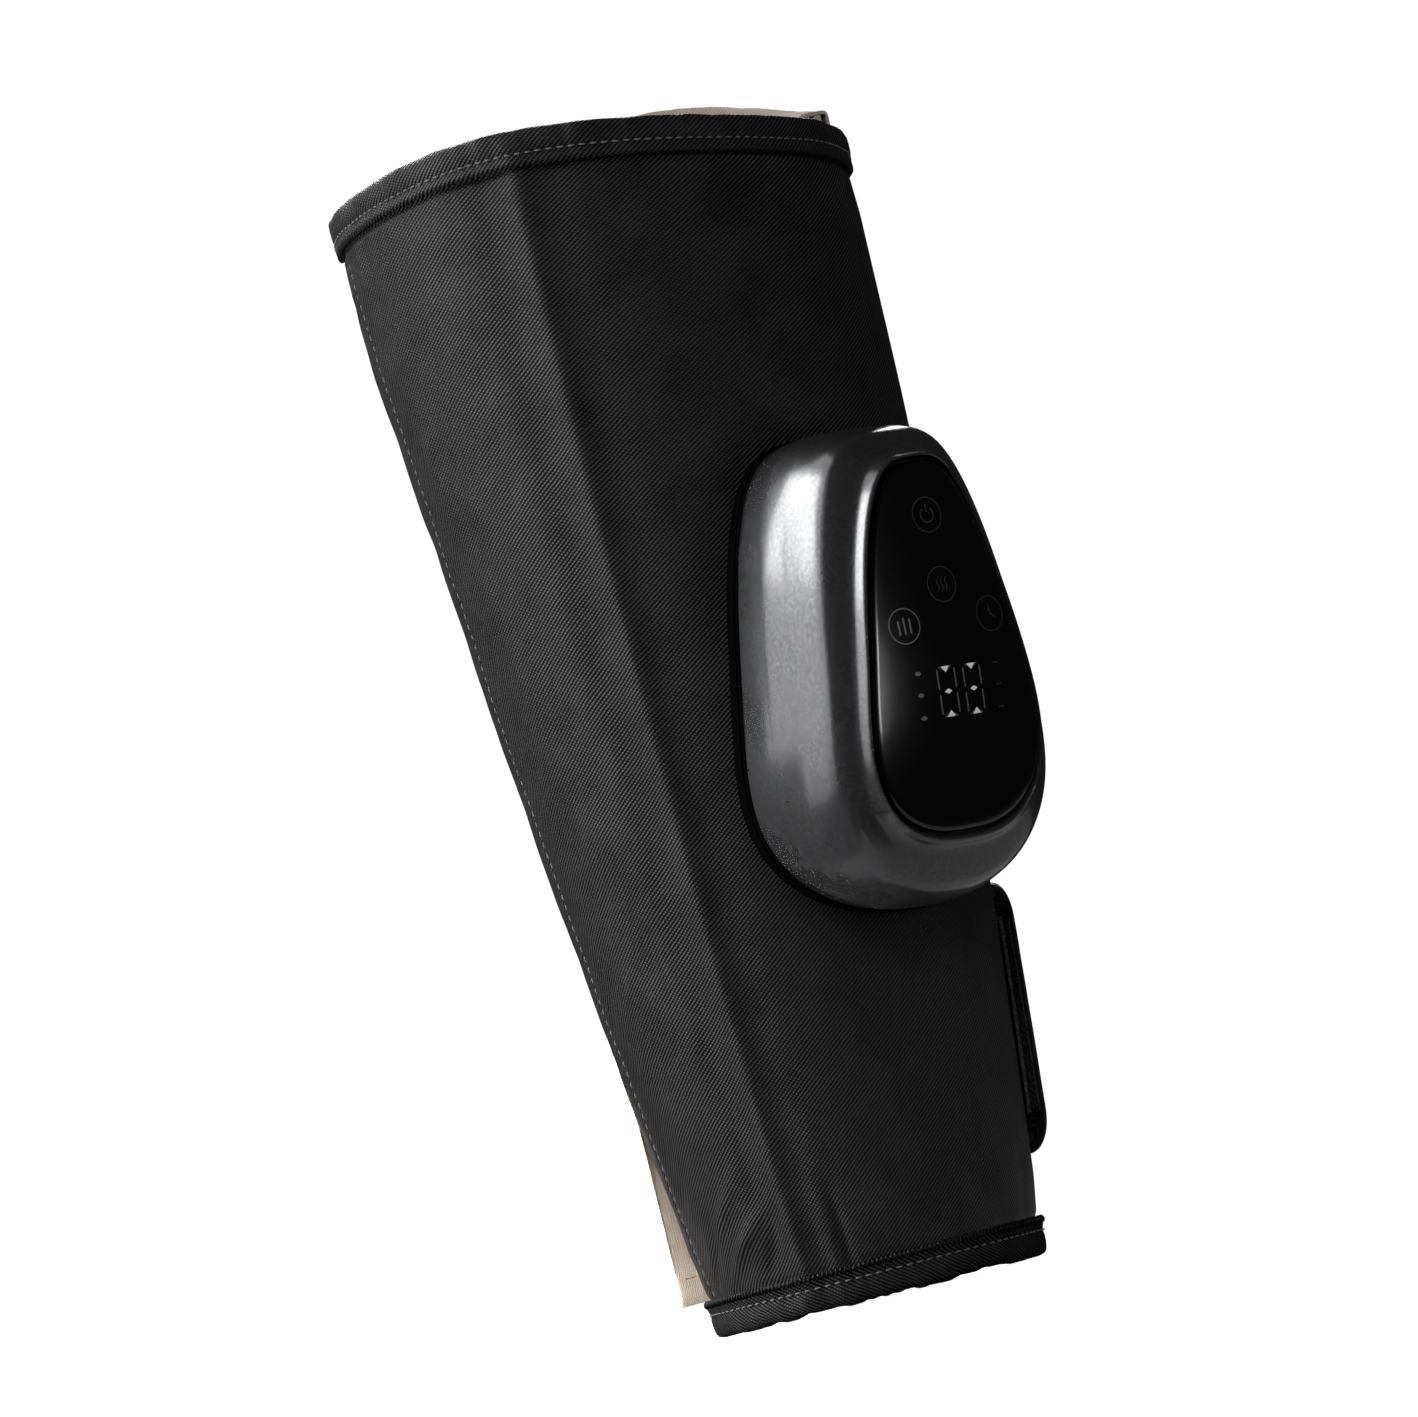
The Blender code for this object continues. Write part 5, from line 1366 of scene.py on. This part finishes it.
def make_stage():
    """A pale floor that runs out into a pale dome; both show to the camera and light nothing themselves."""
    deselect()
    bpy.ops.mesh.primitive_plane_add(size=14, location=(0, 0, -0.05 * MM))
    floor = bpy.context.object
    floor.name = "floor"
    floor.data.materials.append(floor_material())
    floor.visible_diffuse = False
    floor.visible_glossy = False
    deselect()
    bpy.ops.mesh.primitive_uv_sphere_add(segments=48, ring_count=24, radius=6.5, location=(0, 0, 0))
    dome = bpy.context.object
    dome.name = "studio_dome"
    bpy.ops.object.mode_set(mode="EDIT")
    bpy.ops.mesh.flip_normals()
    bpy.ops.object.mode_set(mode="OBJECT")
    dome.data.materials.append(pale_material("pale_dome", (0.9, 0.9, 0.9), 1.0))
    dome.visible_glossy = False
    dome.visible_diffuse = False
    dome.visible_shadow = False
    world = bpy.data.worlds.new("studio")
    bpy.context.scene.world = world
    world.use_nodes = True
    background = world.node_tree.nodes["Background"]
    background.inputs["Color"].default_value = (1, 1, 1, 1)
    background.inputs["Strength"].default_value = WORLD_LIGHT


def floor_material():
    """White paper: bright near the object and running out to the dome's white."""
    material, tree, shader = new_material("pale_floor")
    place = tree.nodes.new("ShaderNodeTexCoord").outputs["Object"]
    away = tree.nodes.new("ShaderNodeVectorMath")
    away.operation = "LENGTH"
    tree.links.new(place, away.inputs[0])
    glow = value_ramp(tree, away.outputs["Value"], 0.25, 1.1, FLOOR_GLOW, 1.0)
    fibres = grain(tree, place, 260, 4)
    tree.links.new(value_ramp(tree, fibres, 0.3, 0.7, 0.75, 0.9), shader.inputs["Roughness"])
    shader.inputs["Base Color"].default_value = (0.9, 0.9, 0.9, 1)
    shader.inputs["Specular IOR Level"].default_value = 0.0
    shader.inputs["Emission Color"].default_value = (1, 1, 1, 1)
    tree.links.new(glow, shader.inputs["Emission Strength"])
    return material


# Name, angle, distance, height, width, tallness, watts, height aimed at, and the rays it is hidden from
LAMPS = (
    ("left_softbox", -112, 1.25, 1.095, 0.6, 0.75, 15.0, 0.18, ()),
    ("left_middle_softbox", -112, 1.25, 0.58, 0.6, 0.28, 1.2, 0.18, ()),
    ("left_lower_softbox", -112, 1.25, 0.33, 0.6, 0.22, 0.8, 0.18, ()),
    ("left_lowest_softbox", -112, 1.25, 0.12, 0.6, 0.20, 0.5, 0.18, ()),
    ("left_edge_softbox", -142, 1.25, 1.15, 0.7, 0.9, 5, 0.18, ("diffuse",)),
    ("pod_edge_softbox", -150, 1.25, 1.10, 1.15, 0.75, 16, 0.18, ()),
    ("pod_edge_lower_softbox", -150, 1.25, 0.565, 1.15, 0.32, 2.2, 0.18, ()),
    ("left_high_softbox", -125, 0.9, 1.75, 1.3, 0.7, 5, 0.25, ("diffuse",)),
    ("front_fill", -20, 1.7, 1.15, 1.2, 0.9, 22, 0.18, ("glossy",)),
    ("gusset_fill", -62, 0.26, 0.10, 0.06, 0.24, 3.8, 0.10, ("glossy",)),
    ("left_low_fill", -104, 0.5, 0.06, 0.35, 0.10, 5.0, 0.05, ("glossy",)),
    ("right_fill", 40, 2.0, 0.8, 1.0, 1.0, 4, 0.2, ("glossy",)),
    ("right_back_fill", 128, 1.9, 0.8, 1.1, 1.1, 18, 0.2, ("glossy",)),
    ("rim_softbox", 146, 1.2, 1.05, 0.7, 0.5, 9, 0.2, ("diffuse",)),
    ("top_back", 165, 1.0, 1.5, 0.9, 0.5, 5, 0.25, ()),
    ("top_glint", 165, 1.0, 1.3, 0.9, 0.5, 20, 0.25, ("diffuse",)),
    ("floor_card", 90, 0.15, 0.012, 0.42, 0.30, 0.11, 0.012, ("diffuse",)),
    ("panel_glow", 5, 0.42, 0.128, 0.05, 0.11, 0.17, 0.178, ("diffuse",)),
)
FLOOR_CARD_PLACE = Vector((95, -55, 12)) * MM


def make_lights():
    lamps = {lamp[0]: softbox(*lamp) for lamp in LAMPS}
    keep_light_to(lamps["pod_edge_softbox"], "pod_housing")
    keep_light_to(lamps["pod_edge_lower_softbox"], "pod_housing")
    keep_light_to(lamps["gusset_fill"], "gusset_panel")
    upward = Matrix.Rotation(math.pi, 4, "X")
    lamps["floor_card"].matrix_world = Matrix.Translation(LEG_AXIS + FLOOR_CARD_PLACE) @ upward


make_front()
make_flap()
make_gusset()
make_tab()
make_housing()
make_base_band()
make_panel()
make_marks()
finish_nodes()
make_camera()
make_stage()
make_lights()
bpy.context.scene.view_settings.view_transform = "Standard"
